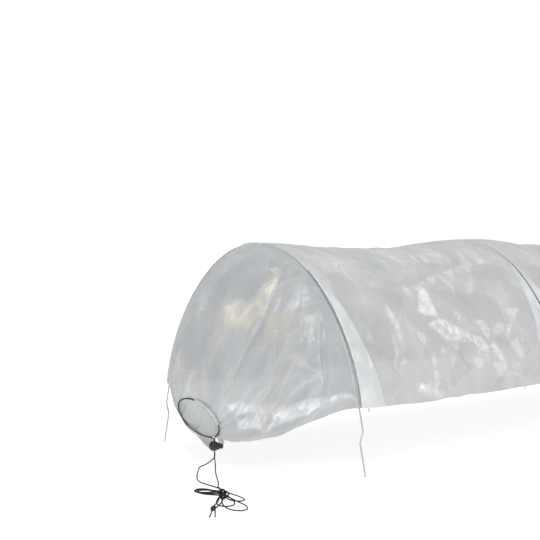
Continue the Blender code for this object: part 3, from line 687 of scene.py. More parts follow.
# Each flat: corners in millimetres and thousandths of the way; then how much paler and warmer it is.
# Paler is a painted highlight and warmer is a painted warm reflection. Below zero both are painted shade.
BAY_FLATS = (
    (((297, 430), (295, 480), (283, 550), (285, 620), (250, 585), (238, 575), (263, 490)), 0.13, 0.012),
    (((285, 620), (323, 650), (360, 705), (357, 755), (280, 720), (253, 640)), 0.12, 0.012),
    (((300, 640), (323, 650), (338, 685), (318, 710), (296, 680)), 0.07, 0.006),
    (((400, 635), (420, 650), (422, 695), (410, 730), (398, 740), (400, 685)), 0.12, 0.01),
    (((367, 710), (385, 730), (393, 785), (393, 810), (372, 790), (360, 755)), 0.12, 0.01),
    (((492, 605), (525, 610), (520, 635), (492, 675), (468, 750), (458, 750), (487, 675)), 0.1, 0.005),
    (((430, 680), (463, 670), (463, 710), (432, 740), (413, 755)), 0.07, 0.005),
    (((155, 525), (150, 595), (170, 625), (155, 660), (143, 640), (140, 580)), 0.09, 0.015),
    (((380, 410), (383, 450), (365, 515), (365, 485)), 0.08, 0.005),
    (((177, 920), (188, 960), (165, 955)), 0.11, 0.01),
    (((225, 730), (280, 720), (355, 770), (388, 835), (388, 890), (307, 990), (240, 980)), -0.03, -0.012),
    (((320, 430), (393, 380), (487, 380), (403, 625), (340, 675), (307, 640), (290, 570)), -0.02, -0.006),
    (((228, 450), (250, 440), (247, 495), (235, 515), (233, 480)), 0.05, 0.005),
    (((405, 760), (432, 830), (422, 865), (403, 830)), 0.06, 0.005),
)


def on_bay(x, u):
    return x, u * ARCH_LENGTH / 2


FOLDS_ON_BAY = lay_out_folds(BAY_FOLDS, 100, on_bay)
FLATS_ON_BAY = lay_out_flats(BAY_FLATS, 1000, on_bay)


def bay_point(index, across, along):
    """A point of a bay and its painted light and shade. The folds run the other way round in every second
    bay.
    """
    x = SEAT_GAP / 2 + (HOOP_SPACING - SEAT_GAP) * across
    u = along * 2 - 1
    a, b = HOOP_SPACING * across, ARCH_LENGTH * along
    held = math.sin(math.pi * across) ** 2
    loose = math.sin(math.pi * across) ** 0.7
    lift = FILM_LIFT - BAY_SAG * held * (1 - u**4 / 2) - BAY_CREASE * held / 2
    mirrored = (index % 2 == 1) != (u > 0)
    mark = (HOOP_SPACING - a if mirrored else a, abs(u) * ARCH_LENGTH / 2)
    stand, *fold_painted_light = fold_here(*mark, index, FOLDS_ON_BAY)
    pale, warm = (fold + flat for fold, flat in zip(fold_painted_light, flats_here(*mark, FLATS_ON_BAY)))
    stand += crumple(a, b, 3.7 * index + 1)
    share = BAY_CROWN_CREASE_SHARE + (1 - BAY_CROWN_CREASE_SHARE) * abs(u)
    point = arch_point(u, x, lift + stand * loose * share)
    if abs(u) > 1 - BAY_HEM_SHARE:
        drop = (abs(u) - 1 + BAY_HEM_SHARE) / BAY_HEM_SHARE
        wave = abs(noise.noise(Vector((a * 9, index * 2.0 + u, 0.5))))
        point.z -= drop * loose * (BAY_HEM_DROP + BAY_HEM_WAVE * wave)
    return point, tint(pale, warm)


BAY_COLUMNS = 150
BAY_ROWS = 200
for index in range(HOOPS - 1):
    bay = add_film(
        f"film_bay_{index + 1}", BAY_COLUMNS, BAY_ROWS, HOOP_SPACING, ARCH_LENGTH,
        lambda across, along: bay_point(index, across, along), lay=hoop_lay(index),
    )
    finish_sheet(
        bay, index + 1, "clear_film", FILM, f"cover_bay_{index + 1}", flat=(HOOP_SPACING, ARCH_LENGTH),
        held="stretched", rests_on=[f"wire_hoop_{index + 1}", f"wire_hoop_{index + 2}"],
    )
    fold_with_bay(bay)
print("points in one bay:", len(bay.data.vertices))

# %% [markdown]
# ## The channels on the hoops
# The film is folded round each wire and welded to itself, so a hoop sits in a narrow channel of double
# film. It is a little wider low down. We bend a strip under the wire, with both edges close under the bays.

# %% Fold the channels
CHANNEL_CROWN_WIDTH = 0.010
CHANNEL_HEM_WIDTH = 0.014
CHANNEL_EDGE_LIFT = 0.0006
CHANNEL_DEPTH = 0.0032
CHANNEL_RIPPLE = 0.0004
CHANNEL_COLUMNS = 12
CHANNEL_ROWS = 160


def channel_point(x, across, along):
    u = along * 2 - 1
    width = CHANNEL_CROWN_WIDTH + (CHANNEL_HEM_WIDTH - CHANNEL_CROWN_WIDTH) * u**2
    away = (across - 0.5) * width
    share = math.cos(math.pi * (across - 0.5)) ** 4
    ripple = CHANNEL_RIPPLE * noise.noise(Vector((away * 300, along * 60, x)))
    return arch_point(u, x + away, CHANNEL_EDGE_LIFT - CHANNEL_DEPTH * share + ripple), NO_PAINTED_LIGHT


for index in range(HOOPS):
    channel = add_film(
        f"film_channel_{index + 1}", CHANNEL_COLUMNS, CHANNEL_ROWS, CHANNEL_HEM_WIDTH, ARCH_LENGTH,
        lambda across, along: channel_point(hoop_x(index), across, along),
    )
    finish_sheet(
        channel, index + 1, "sleeve_film", DOUBLE_FILM, f"hoop_sleeve_{index + 1}",
        flat=(CHANNEL_HEM_WIDTH, ARCH_LENGTH), held="folded", rests_on=[f"wire_hoop_{index + 1}"],
    )

# %% [markdown]
# ## The welded wedges
# Low on each side the channel's outer layer runs on over the bay as a long wedge, which shows as a paler
# band beside the leg. It starts at the hoop's shoulder and is 6 cm wide at the hem.

# %% Cut the wedges
WEDGE_WIDTH = 0.060
WEDGE_START = 0.003
WEDGE_LIFT = 0.0012
WEDGE_TOP_SHARE = 0.34
WEDGE_EDGE_LIFT_SHARE = 0.3
WEDGE_AREA_SHARE = 0.58
WEDGE_COLUMNS = 16
WEDGE_ROWS = 70
WEDGE_CUT = (WEDGE_WIDTH, ARCH_LENGTH * (1 - WEDGE_TOP_SHARE) / 2)


def wedge_point(index, way, side, across, along):
    """A point of a wedge, which lies on its bay and comes down to it at its outer edge."""
    u = side * (WEDGE_TOP_SHARE + (1 - WEDGE_TOP_SHARE) * along)
    reach = WEDGE_START + (WEDGE_WIDTH * along**0.8 + WEDGE_START) * across
    share = (0 if way > 0 else 1) + way * reach / HOOP_SPACING
    point, _ = bay_point(index, share, (u + 1) / 2)
    lift = WEDGE_LIFT * (1 - (1 - WEDGE_EDGE_LIFT_SHARE) * across**3)
    outward = arch_point(u, 0, lift) - arch_point(u, 0, 0)
    return point + outward, NO_PAINTED_LIGHT


for index in range(HOOPS - 1):
    for label, way in (("a", 1), ("b", -1)):
        for word, side in (("near", -1), ("far", 1)):
            wedge = add_film(
                f"film_wedge_{index + 1}{label}_{word}", WEDGE_COLUMNS, WEDGE_ROWS,
                WEDGE_WIDTH, ARCH_LENGTH / 3,
                lambda across, along: wedge_point(index, way, side, across, along), lay=hoop_lay(index),
            )
            finish_sheet(
                wedge, index + 1, "sleeve_film", DOUBLE_FILM, flat=WEDGE_CUT, held="stretched",
                area=WEDGE_CUT[0] * WEDGE_CUT[1] * WEDGE_AREA_SHARE, rests_on=[f"film_bay_{index + 1}"],
            )
            fold_with_bay(wedge)

# %% [markdown]
# ## The gathered ends
# The end sleeve starts on the hoop, bulges outwards and is drawn in to a small oval neck low down on the
# near side. All the film that leaves the wide arch has to pass the narrow neck, so it falls into pleats
# that begin half way and deepen towards the cord. Past the cord the spare edge stands out as a frill. Its
# two ends close up behind the cords and lean back, so that they stay clear of the lock.
#
# Both ends of the tunnel are alike, and the right one is turned half a circle. We draw every piece of an end
# once, round the origin, and lay it on its own hoop.

# %% Name the end's sizes
ENDS = (("left", 1, hoop_lay(0)), ("right", HOOPS, hoop_lay(HOOPS - 1, math.pi)))
NECK_CENTRE = Vector((-0.125, 0.019, 0.084))
NECK_HALF_WIDTH = 0.055
NECK_HALF_HEIGHT = 0.024
NECK_TILT = math.radians(20)
NECK_TOP_TURN = math.radians(20)
NECK_NEAR_TURN = math.radians(135)
NECK_FAR_TURN = math.radians(195)
END_CROWN_BULGE = 0.010
END_FOOT_BULGE = 0.035
END_TUCK_SHARE = 0.20
END_CROWN_REACH = 0.123
END_NEAR_REACH = 0.120
END_FAR_REACH = 0.072
END_NEAR_SPREAD = math.radians(94)
END_FAR_SPREAD = math.radians(114)
END_NEAR_DROOP = 0.012
FRILL_FAN = 0.010
FRILL_FAR_DROP = 0.027
FRILL_NEAR_DROP = 0.019
FRILL_NEAR_FLARE = 0.017
FRILL_NEAR_BACK = 0.022
FRILL_FAR_BACK = 0.018
TO_NEAR_SIDE = Vector((0.71, -0.71, 0))
BEHIND_LOCK = Vector((0.71, 0.71, 0))
NECK_CLOSING_TURN = math.radians(13)
FRILL_RUFFLE = 0.0030
FRILL_RUFFLES = 9
FRILL_FINE_RUFFLES = 14
FRILL_PLEAT = 0.0008
FRILL_CLOSING_SHARE = 2.15
FRILL_LEAN_PACE = 2.2
TUCK_DEPTH = 0.004
GATHER_SHARE = 0.6
SEAT_WIDTH = 0.003
SEAT_SHARE = 0.02
BODY_SHARE = 0.86
END_COLUMNS = 260
END_ROWS = 150
END_LENGTH = 0.27
END_SEEDS = (31.0, 47.0)
END_LEAN_IN = 0.004
END_FREE_PACE = 1.12
END_HELD_FROM = 0.89
PLEATS = 12
PLEATS_VARY = 2
FINE_PLEATS = 19
PLEAT_START = 0.0006
PLEAT_DEPTH = 0.0034

# Each fold: points in hundredths of the way from the crown to a side, near being minus, and from the hoop to
# the neck; then its width and depth in metres, and how much paler and warmer it is.
# Paler is a painted highlight and warmer is a painted warm reflection. Below zero both are painted shade.
END_FOLDS = (
    (((-25, 11), (-31, 34), (-36, 52), (-38, 72), (-40, 86), (-43, 95)), 0.009, -0.013, 0, 0),
    (((-25, 11), (-31, 34), (-36, 52), (-38, 72), (-40, 86)), 0.0035, 0, -0.13, -0.01),
    (((-24, 12), (-29, 34), (-34, 52), (-36, 72), (-38, 86)), 0.003, 0, 0.06, 0.01),
    (((-27, 17), (-27, 35), (-24, 48)), 0.016, 0.01, 0.06, 0.035),
    (((-16, 65), (-12, 58), (-5, 53)), 0.026, 0.006, 0.06, 0.05),
    (((-31, 42), (-42, 51), (-50, 40)), 0.014, 0.005, 0.01, 0.05),
    (((-20, 54), (-26, 56)), 0.007, 0.003, 0.06, 0.06),
    (((-40, 20), (-44, 28), (-43, 36)), 0.009, 0.005, 0.12, 0),
    (((-54, 14), (-68, 23), (-89, 29)), 0.007, 0.007, 0.09, 0),
    (((-60, 9), (-75, 19), (-90, 26)), 0.014, -0.008, -0.05, -0.02),
    (((-56, 4), (-72, 15), (-93, 23)), 0.006, 0.005, 0.08, 0),
    (((-79, 29), (-78, 50), (-88, 60), (-97, 67)), 0.006, 0.008, 0.07, 0),
    (((-46, 95), (-56, 83), (-68, 73), (-80, 78)), 0.012, 0.008, 0.07, 0),
    (((-80, 84), (-74, 76), (-86, 66), (-93, 52)), 0.007, -0.008, 0.08, 0),
    (((-90, 60), (-94, 34), (-96, 2)), 0.006, 0.004, 0.06, 0),
    (((-66, 90), (-80, 72)), 0.004, -0.006, -0.16, 0),
    (((-95, 67), (-86, 56), (-82, 52)), 0.003, 0.004, 0.1, 0),
    (((-80, 50), (-80, 30), (-93, 22)), 0.003, 0.003, 0.07, 0),
    (((27, 62), (22, 74), (15, 90), (1, 99)), 0.01, 0.008, 0.05, 0.02),
    (((38, 50), (36, 70), (38, 97)), 0.014, -0.009, -0.06, -0.02),
    (((23, 42), (12, 62), (-1, 76)), 0.01, 0.007, 0.05, 0.01),
    (((-10, 70), (-6, 82), (-15, 95)), 0.012, 0.006, 0.05, 0.02),
    (((-4, 17), (10, 28), (19, 33)), 0.022, 0.006, 0.05, 0),
    (((-10, 5), (4, 7), (16, 12)), 0.012, 0.005, 0.05, 0),
    (((-10, 30), (0, 38), (5, 44)), 0.022, -0.006, -0.04, -0.025),
    (((50, 10), (55, 40), (50, 80)), 0.014, 0.007, 0.05, 0),
)

# Each flat: corners in the same hundredths; then how much paler and warmer it is.
# Paler is a painted highlight and warmer is a painted warm reflection. Below zero both are painted shade.
END_FLATS = (
    (((-25, 7), (-27, 20), (-27, 34), (-25, 47), (-30, 45), (-31, 38), (-29, 27)), 0.02, 0.025),
    (((-2, 56), (-14, 52), (-30, 45), (-33, 49), (-34, 58), (-26, 60), (-16, 60)), 0.03, 0.034),
    (((6, 45), (-11, 40), (-22, 24), (-22, 38), (-20, 48), (0, 53)), -0.05, 0),
    (((-9, 63), (-19, 62), (-27, 65), (-38, 76), (-39, 84), (-22, 77)), -0.03, -0.008),
    (((-35, 43), (-47, 30), (-57, 17), (-53, 32), (-47, 43), (-41, 51)), 0, 0.022),
    (((-61, 48), (-64, 39), (-78, 29), (-71, 40)), 0.04, 0.01),
    (((-57, 17), (-57, 3), (-65, 4), (-90, 23), (-89, 32), (-70, 23)), -0.035, -0.01),
    (((-82, 55), (-80, 49), (-80, 30), (-91, 23), (-90, 38), (-88, 53)), -0.05, -0.015),
    (((33, 54), (12, 61), (2, 67), (0, 77), (0, 95), (19, 97), (26, 83)), -0.03, -0.004),
    (((-49, 90), (-59, 82), (-72, 74), (-87, 70), (-95, 67), (-89, 77), (-85, 86)), 0.14, 0),
    (((-95, 66), (-87, 60), (-86, 46), (-92, 23), (-93, 5), (-96, 1), (-95, 38)), 0.17, 0),
    (((-73, 72), (-80, 58), (-86, 57), (-92, 64), (-94, 67), (-85, 70)), 0.03, 0.02),
    (((-84, 86), (-96, 66), (-97, 40), (-100, 40), (-100, 90)), -0.02, -0.015),
)


def on_end(u, t):
    """A place on the end's sheet in metres. The sheet narrows as it is gathered."""
    return ARCH_LENGTH / 2 * (1 + u * (1 - GATHER_SHARE * t * t)), END_LENGTH * t


FOLDS_ON_END = lay_out_folds(END_FOLDS, 100, on_end)
FLATS_ON_END = lay_out_flats(END_FLATS, 100, on_end)


def neck_turn(u):
    return NECK_TOP_TURN + u * (NECK_NEAR_TURN if u < 0 else NECK_FAR_TURN)


def neck_point(turn, out=0.0, x=0.0):
    """A point round the gathered neck, a distance out from its oval."""
    place = Vector((x, (NECK_HALF_WIDTH + out) * math.sin(turn), (NECK_HALF_HEIGHT + out) * math.cos(turn)))
    return NECK_CENTRE + Matrix.Rotation(NECK_TILT, 3, "X") @ place


def gathered_turn(u):
    """Where the film meets the neck. Its two edges close up behind the cords that run down to the lock."""
    return neck_turn(u) + math.copysign(NECK_CLOSING_TURN * u**8, u)


def pleats(across, seed):
    """A run of pleats round the neck, from -1 to 1, uneven like those of a gathered hem."""
    count = PLEATS + PLEATS_VARY * math.sin(9 * across + seed)
    fine = math.sin(2 * math.pi * FINE_PLEATS * across + seed)
    return math.sin(2 * math.pi * count * across) * 0.6 + fine * 0.4


def frill_point(seed, across, past):
    """A point of the spare edge past the cord. On top it is tucked in and closes the neck. Below it hangs,
    and leans back to stay behind the lock."""
    u = across * 2 - 1
    turn = gathered_turn(u)
    closing = FRILL_CLOSING_SHARE * NECK_HALF_HEIGHT * max(0.0, math.cos(turn)) * past
    hanging = past * min(1.0, max(0.0, 0.8 - 1.6 * math.cos(turn)))
    drop = FRILL_FAR_DROP * u**2.4 if u > 0 else FRILL_NEAR_DROP * u * u
    flare = FRILL_NEAR_FLARE * max(0.0, -u) ** 2
    fine = math.sin(math.pi * FRILL_FINE_RUFFLES * across + seed)
    wide = math.cos(math.pi * FRILL_RUFFLES * across) + 0.5 * fine
    inward = TUCK_DEPTH * math.sin(math.pi * past) * (1 - hanging) + FRILL_PLEAT * pleats(across, seed)
    down = Matrix.Rotation(NECK_TILT, 3, "X") @ Vector((0, 0, -closing))
    beside = (neck_point(turn + math.copysign(0.01, u)) - neck_point(turn)).normalized()
    down += beside * (FRILL_FAN * abs(u) ** 6 * hanging)
    back = (FRILL_NEAR_BACK if u < 0 else FRILL_FAR_BACK) * u**4
    back *= math.sin(math.pi / 2 * min(1.0, FRILL_LEAN_PACE * past))
    down += BEHIND_LOCK * back + TO_NEAR_SIDE * (flare * hanging)
    ruffle = FRILL_RUFFLE * wide * (hanging + 0.3 * closing / NECK_HALF_HEIGHT)
    return neck_point(turn) + down + Vector((inward + ruffle, 0, -drop * hanging))


def end_point(seed, across, along):
    """A point of the end sleeve and its painted light and shade."""
    u = across * 2 - 1
    neck = neck_point(gathered_turn(u))
    if along > BODY_SHARE:
        return frill_point(seed, across, (along - BODY_SHARE) / (1 - BODY_SHARE)), NO_PAINTED_LIGHT
    if along < SEAT_SHARE:
        x = -SEAT_GAP / 2 - (SEAT_WIDTH - SEAT_GAP / 2) * along / SEAT_SHARE
        return arch_point(u, x, FILM_LIFT), NO_PAINTED_LIGHT
    t = (along - SEAT_SHARE) / (BODY_SHARE - SEAT_SHARE)
    bulge = END_CROWN_BULGE + (END_FOOT_BULGE - END_CROWN_BULGE) * u * u
    start = arch_point(u, -SEAT_WIDTH, FILM_LIFT)
    leave = start + Vector((-bulge, -END_TUCK_SHARE * start.y, 0))
    spread = u * (END_NEAR_SPREAD if u < 0 else END_FAR_SPREAD)
    reach = END_CROWN_REACH + ((END_NEAR_REACH if u < 0 else END_FAR_REACH) - END_CROWN_REACH) * u * u
    arrive = neck + Vector((0, math.sin(spread), math.cos(spread))) * reach
    s = 1 - t
    place = s**3 * start + 3 * s * s * t * leave + 3 * s * t * t * arrive + t**3 * neck
    middle = Vector((-NECK_HALF_WIDTH, 0, HEM_HEIGHT + NECK_HALF_HEIGHT))
    way = (place - middle).normalized()
    a, b = on_end(u, t)
    free = math.sin(math.pi * min(1, t * END_FREE_PACE) ** 0.8) ** 0.7 if t < END_HELD_FROM else 0.0
    stand, *fold_painted_light = fold_here(a, b, seed, FOLDS_ON_END)
    pale, warm = (fold + flat for fold, flat in zip(fold_painted_light, flats_here(a, b, FLATS_ON_END)))
    stand = (stand + crumple(a, b, seed) - END_LEAN_IN) * free
    stand += pleats(across, seed) * (PLEAT_START + PLEAT_DEPTH * (t * s) ** 1.2 * 4 * t)
    place.z -= END_NEAR_DROOP * max(0.0, -u) ** 8 * math.sin(math.pi * t**1.3)
    return place + way * stand, tint(pale, warm)


for (word, hoop, lay), seed in zip(ENDS, END_SEEDS):
    end = add_film(
        f"film_end_{word}", END_COLUMNS, END_ROWS, ARCH_LENGTH, END_LENGTH,
        lambda across, along: end_point(seed, across, along),
        narrow=lambda along: 1 - GATHER_SHARE * along * along, lay=lay,
    )
    finish_sheet(
        end, hoop, "clear_film", END_FILM, f"cover_end_{word}", flat=(ARCH_LENGTH, END_LENGTH),
        held="gathered", rests_on=[f"wire_hoop_{hoop}"],
    )
    print(end.name, "points:", len(end.data.vertices))

# %% [markdown]
# ## The hem round the cord
# The cord runs inside a narrow hem, and the gathered film of the upper near side lies over it. Round the
# rest of the neck the hem has slipped back and the cord lies bare. This strip is bent nearly all the way
# round the cord's own line, a little loose.

# %% Fold the hem over the cord
HEM_START = -0.62
HEM_STOP = -0.02
HEM_RADIUS = 0.0032
HEM_WAVE = 0.0012
HEM_FIRST_TURN = 0.75 * math.pi
HEM_WRAP_TURN = 1.9 * math.pi
HEM_SEEDS = (5.0, 9.0)
HEM_COLUMNS = 90
HEM_ROWS = 20
CORD_LINE_OUT = 0.0023


def hem_turn(across):
    return neck_turn(HEM_START + (HEM_STOP - HEM_START) * across)


def hem_point(seed, across, along):
    turn = hem_turn(across)
    middle = neck_point(turn, CORD_LINE_OUT, -CORD_LINE_OUT)
    out = (neck_point(turn, CORD_LINE_OUT) - neck_point(turn)).normalized()
    angle = HEM_FIRST_TURN + HEM_WRAP_TURN * along
    radius = HEM_RADIUS + HEM_WAVE * noise.noise(Vector((across * 14, along * 3, seed)))
    return middle + out * (radius * math.cos(angle)) + Vector((-radius * math.sin(angle), 0, 0)), NO_PAINTED_LIGHT


HEM_LENGTH = route_length([neck_point(hem_turn(i / 20), CORD_LINE_OUT) for i in range(21)])
HEM_FLAT = (HEM_LENGTH, 2 * math.pi * HEM_RADIUS)
for (word, hoop, lay), seed in zip(ENDS, HEM_SEEDS):
    hem = add_film(
        f"film_hem_{word}", HEM_COLUMNS, HEM_ROWS, *HEM_FLAT,
        lambda across, along: hem_point(seed, across, along), lay=lay,
    )
    rests_on = [f"film_end_{word}"]
    finish_sheet(hem, hoop, "sleeve_film", DOUBLE_FILM, flat=HEM_FLAT, held="folded", rests_on=rests_on)

# %% [markdown]
# ## The cords
# One cord runs through the hem of the neck and both its ends come down through the lock. From there they
# lie on the ground, and the spare length is made up into a hank: runs to and fro through a waist, a loop
# at each end of each run, and the slack cord wrapped round the waist. The two short ends leave the hank
# together and are tied in a small knot.

# %% Name the cords' sizes
CORD_DIAMETER = 0.002
CORD_RADIUS = CORD_DIAMETER / 2
CORD_PITCH = 0.0027
CORD_STEP = 0.011
DRAWCORD_STEP = 0.010
DRAWCORD_CLEARANCE = 0.0009
FILM_THICKNESS = 0.0008
LOCK_SLIDE = 0.011
LOCK_PLACE = Vector((-0.125, -0.0195, 0.0378))
LOCK_TURN = math.radians(-45)
LOCK_DIAMETER = 0.018
LOCK_FLAT_SHARE = 0.86
LOCK_RADIUS = LOCK_DIAMETER / 2
LOCK_HALF_HEIGHT = LOCK_RADIUS * LOCK_FLAT_SHARE
PINCH_OFFSET = 0.0024
CORD_SLOT_LENGTH = 0.0050
CORD_SLOT_WIDTH = 0.0054
PLUNGER_SLOT_START = PINCH_OFFSET - CORD_SLOT_LENGTH / 2
WAIST_LENGTH = 0.016
WRAP_TURNS = 4.5
WRAP_POINTS = 12
WRAP_CLEARANCE = 0.0006
WRAP_SQUARENESS_SHARE = 0.5
HANK_FALL = 0.045
HANK_LOOPS = (
    (1, math.radians(16), 0.060, 0.015, 3),
    (-1, math.radians(42), 0.046, 0.013, 2),
    (1, math.radians(-8), 0.080, 0.018, 2),
    (-1, math.radians(29), 0.062, 0.016, 1),
    (1, math.radians(4), 0.102, 0.021, 1),
    (-1, math.radians(17), 0.078, 0.018, 0),
)
LOOP_POINTS = 16
LEFT_HANK = ((-0.300, -0.235), math.radians(-121))
RIGHT_HANK = ((-0.172, -0.060), math.radians(-100))

# Places along the cords. The first four lists are in the end's own frame, the others in the hank's.
LEFT_STRAIGHT = (
    (-0.1265, -0.0245, 0.0095), (-0.131, -0.030, 0.0040), (-0.140, -0.040, 0.0016),
    (-0.165, -0.069, 0.0013), (-0.200, -0.112, 0.0013), (-0.230, -0.148, 0.0036),
)
LEFT_SLACK = (
    (-0.1265, -0.0125, 0.0105), (-0.130, -0.006, 0.0050), (-0.136, 0, 0.0018), (-0.149, -0.008, 0.0013),
    (-0.170, -0.029, 0.0013), (-0.197, -0.057, 0.0013), (-0.222, -0.086, 0.0013), (-0.237, -0.112, 0.0013),
    (-0.243, -0.137, 0.0013), (-0.247, -0.160, 0.0013),
)
RIGHT_STRAIGHT = ((-0.1262, -0.0232, 0.0130), (-0.1330, -0.0265, 0.0112))
RIGHT_SLACK = (
    (-0.1255, -0.0170, 0.0120), (-0.1270, -0.0150, 0.0065), (-0.1310, -0.0165, 0.0030),
    (-0.1370, -0.0230, 0.0014),
)
STRAIGHT_ARRIVAL = ((-0.060, 0.0060, 0.0064), (-0.036, 0.0040, 0.0090), (-0.015, 0, 0.0130))
SLACK_ARRIVAL = (
    (-0.036, 0.0180, 0.0013), (-0.018, 0.0145, 0.0013), (-0.005, 0.0085, 0.0020), (0.0005, 0.0050, 0.0050),
)
HANK_END = (
    (0.012, -0.0035, 0.0034), (0.030, -0.0100, 0.0022), (0.055, -0.0210, 0.0015), (0.070, -0.0275, 0.0036),
    (0.079, -0.0312, 0.0051), (0.087, -0.0345, 0.0046), (0.100, -0.0390, 0.0013), (0.121, -0.0450, 0.0013),
)
SECOND_END = (
    (0, -0.0062, 0.0040), (0.005, -0.0092, 0.0015), (0.020, -0.0135, 0.0013), (0.045, -0.0240, 0.0013),
    (0.066, -0.0320, 0.0020),
)
SECOND_TIP = ((0.094, -0.0315, 0.0030), (0.107, -0.0340, 0.0013), (0.123, -0.0370, 0.0013))
KNOT_TURNS = 2.5
KNOT_POINTS = 8
KNOT_START = 0.0750
KNOT_LENGTH = 0.0084
END_STEP = 0.0065
KNOT_CLEARANCE = 0.0010
ROUTE_COLUMNS = 40

# %% Lay out the cords' routes


def lock_matrix():
    return Matrix.Translation(LOCK_PLACE) @ Matrix.Rotation(LOCK_TURN, 4, "Z")


def cord_in_lock(side, height):
    way_through = (PLUNGER_SLOT_START + CORD_SLOT_LENGTH / 2) / 2
    return lock_matrix() @ Vector((way_through, side * CORD_PITCH / 2, height))


def drawcord_route():
    """Up through the lock, round the neck and down through the lock again."""
    clear = FILM_THICKNESS / 2 + DRAWCORD_CLEARANCE + CORD_RADIUS
    around = []
    for column in range(ROUTE_COLUMNS + 1):
        around.append(neck_point(neck_turn(column / ROUTE_COLUMNS * 2 - 1), clear, -clear))
    above = LOCK_HALF_HEIGHT + CORD_PITCH
    heights = (-LOCK_HALF_HEIGHT - SEAT_GAP, 0, above, above + CORD_PITCH)
    up = [cord_in_lock(-1, height) for height in heights]
    down = [cord_in_lock(1, height) for height in reversed(heights)]
    first = smooth_route(up + around[:1], DRAWCORD_STEP)
    last = smooth_route(around[-1:] + down, DRAWCORD_STEP)
    return first + around[1:-1] + last


def hank_axes(hank):
    centre, turn = hank
    front = Vector((math.cos(turn), math.sin(turn), 0))
    return Vector((centre[0], centre[1], 0)), front, Vector((-front.y, front.x, 0))


def ground_height(layer):
    return CORD_RADIUS + SEAT_GAP + CORD_PITCH * layer


def hank_place(hank, end, place):
    centre, front, across = hank_axes(hank)
    along, out, height = place
    return centre + front * (end * WAIST_LENGTH / 2 + along) + across * out + Vector((0, 0, height))


def hank_places(hank, end, places):
    return [hank_place(hank, end, place) for place in places]


def waist_point(hank, end, side, level):
    return hank_place(hank, end, (0, side * CORD_PITCH / 2, ground_height(level + 1)))


def loop_points(hank, loop):
    """A pear-shaped loop out of one end of the waist and back beside itself. Further out it lies lower."""
    end, turn, reach, half_width, level = loop
    _, front, across = hank_axes(hank)
    way = Matrix.Rotation(turn, 3, "Z") @ (front * end)
    beside = Vector((way.y, -way.x, 0))
    root = hank_place(hank, end, (0, 0, 0))
    dense = []
    steps = LOOP_POINTS * 4
    for index in range(steps + 1):
        t = math.pi * index / steps
        out = reach * math.sin(t) ** 2
        near = max(0.0, 1 - out / HANK_FALL)
        side = -end * CORD_PITCH / 2 * math.cos(t)
        swell = half_width * math.sin(2 * t) * math.sin(t)
        point = root + way * out + beside * swell + across * (side * near)
        point.z = ground_height(level + near * near * (3 - 2 * near))
        dense.append(point)
    return spread_evenly(dense, LOOP_POINTS)


def hank_route(hank):
    """The hank as one cord, from the back of its waist to its free end. Each run back is a level lower."""
    top = HANK_LOOPS[0][4]
    middle = hank_place(hank, 0, (0, -CORD_PITCH / 2, ground_height(top + 1)))
    points = [waist_point(hank, -1, -1, top), middle]
    for loop in HANK_LOOPS:
        end, level = loop[0], loop[4]
        points += loop_points(hank, loop)
        middle = level + (0.5 if end > 0 else 1)
        points.append(hank_place(hank, 0, (0, end * CORD_PITCH / 2, ground_height(middle))))
    points.append(waist_point(hank, 1, -1, HANK_LOOPS[-1][4]))
    return points + smooth_route(points[-1:] + hank_places(hank, 1, HANK_END), END_STEP)[1:]


def wrap_route(hank):
    """The slack cord's turns round the waist, from its back end to its front end."""
    top = HANK_LOOPS[0][4]
    side_radius = CORD_PITCH / 2 + CORD_DIAMETER + WRAP_CLEARANCE
    up_radius = top * CORD_PITCH / 2 + CORD_DIAMETER + WRAP_CLEARANCE
    middle = ground_height(1 + top / 2)
    points = []
    steps = round(WRAP_TURNS * WRAP_POINTS)
    for index in range(steps + 1):
        turn = 2 * math.pi * index / WRAP_POINTS
        along = (index / steps - 0.5) * CORD_PITCH * WRAP_TURNS
        side = math.copysign(abs(math.cos(turn)) ** WRAP_SQUARENESS_SHARE, math.cos(turn))
        up = math.copysign(abs(math.sin(turn)) ** WRAP_SQUARENESS_SHARE, math.sin(turn))
        points.append(hank_place(hank, 0, (along, side_radius * side, middle + up_radius * up)))
    return points


def tail_route(side, places, hank, arrival, seat):
    """A cord from the lock to the start of another stretch, which it meets squarely."""
    top = LOCK_HALF_HEIGHT + 2 * SEAT_GAP
    first = [cord_in_lock(side, -top), cord_in_lock(side, -top - LOCK_SLIDE)]
    lead = (seat[1] - seat[0]).normalized()
    free = [Vector(place) for place in places] + hank_places(hank, -1, arrival)
    run_in = seat[0] - lead * (CORD_DIAMETER + SEAT_GAP)
    return smooth_route(first + free + [run_in], CORD_STEP) + [seat[0] - lead * SEAT_GAP]


def second_end_route(hank, wrap):
    """The second short end: it leaves the wrap and ties round the first one in a small knot."""
    lead = (wrap[-1] - wrap[-2]).normalized()
    start = wrap[-1] + lead * SEAT_GAP
    first_end = smooth_route(hank_places(hank, 1, HANK_END), CORD_RADIUS)
    _, front, across = hank_axes(hank)
    root = hank_place(hank, 1, (0, 0, 0))
    turns = []
    radius = CORD_DIAMETER + KNOT_CLEARANCE
    steps = round(KNOT_TURNS * KNOT_POINTS)
    for index in range(steps + 1):
        along = KNOT_START + KNOT_LENGTH * index / steps
        middle = min(first_end, key=lambda point: abs((point - root).dot(front) - along))
        turn = math.pi + 2 * math.pi * index / KNOT_POINTS
        turns.append(middle + across * (radius * math.cos(turn)) + Vector((0, 0, radius * math.sin(turn))))
    before = [start + lead * CORD_DIAMETER] + hank_places(hank, 1, SECOND_END)
    way_in = smooth_route(before + turns[:1], END_STEP)
    way_out = smooth_route(turns[-1:] + hank_places(hank, 1, SECOND_TIP), END_STEP)
    return [start] + way_in + turns[1:-1] + way_out

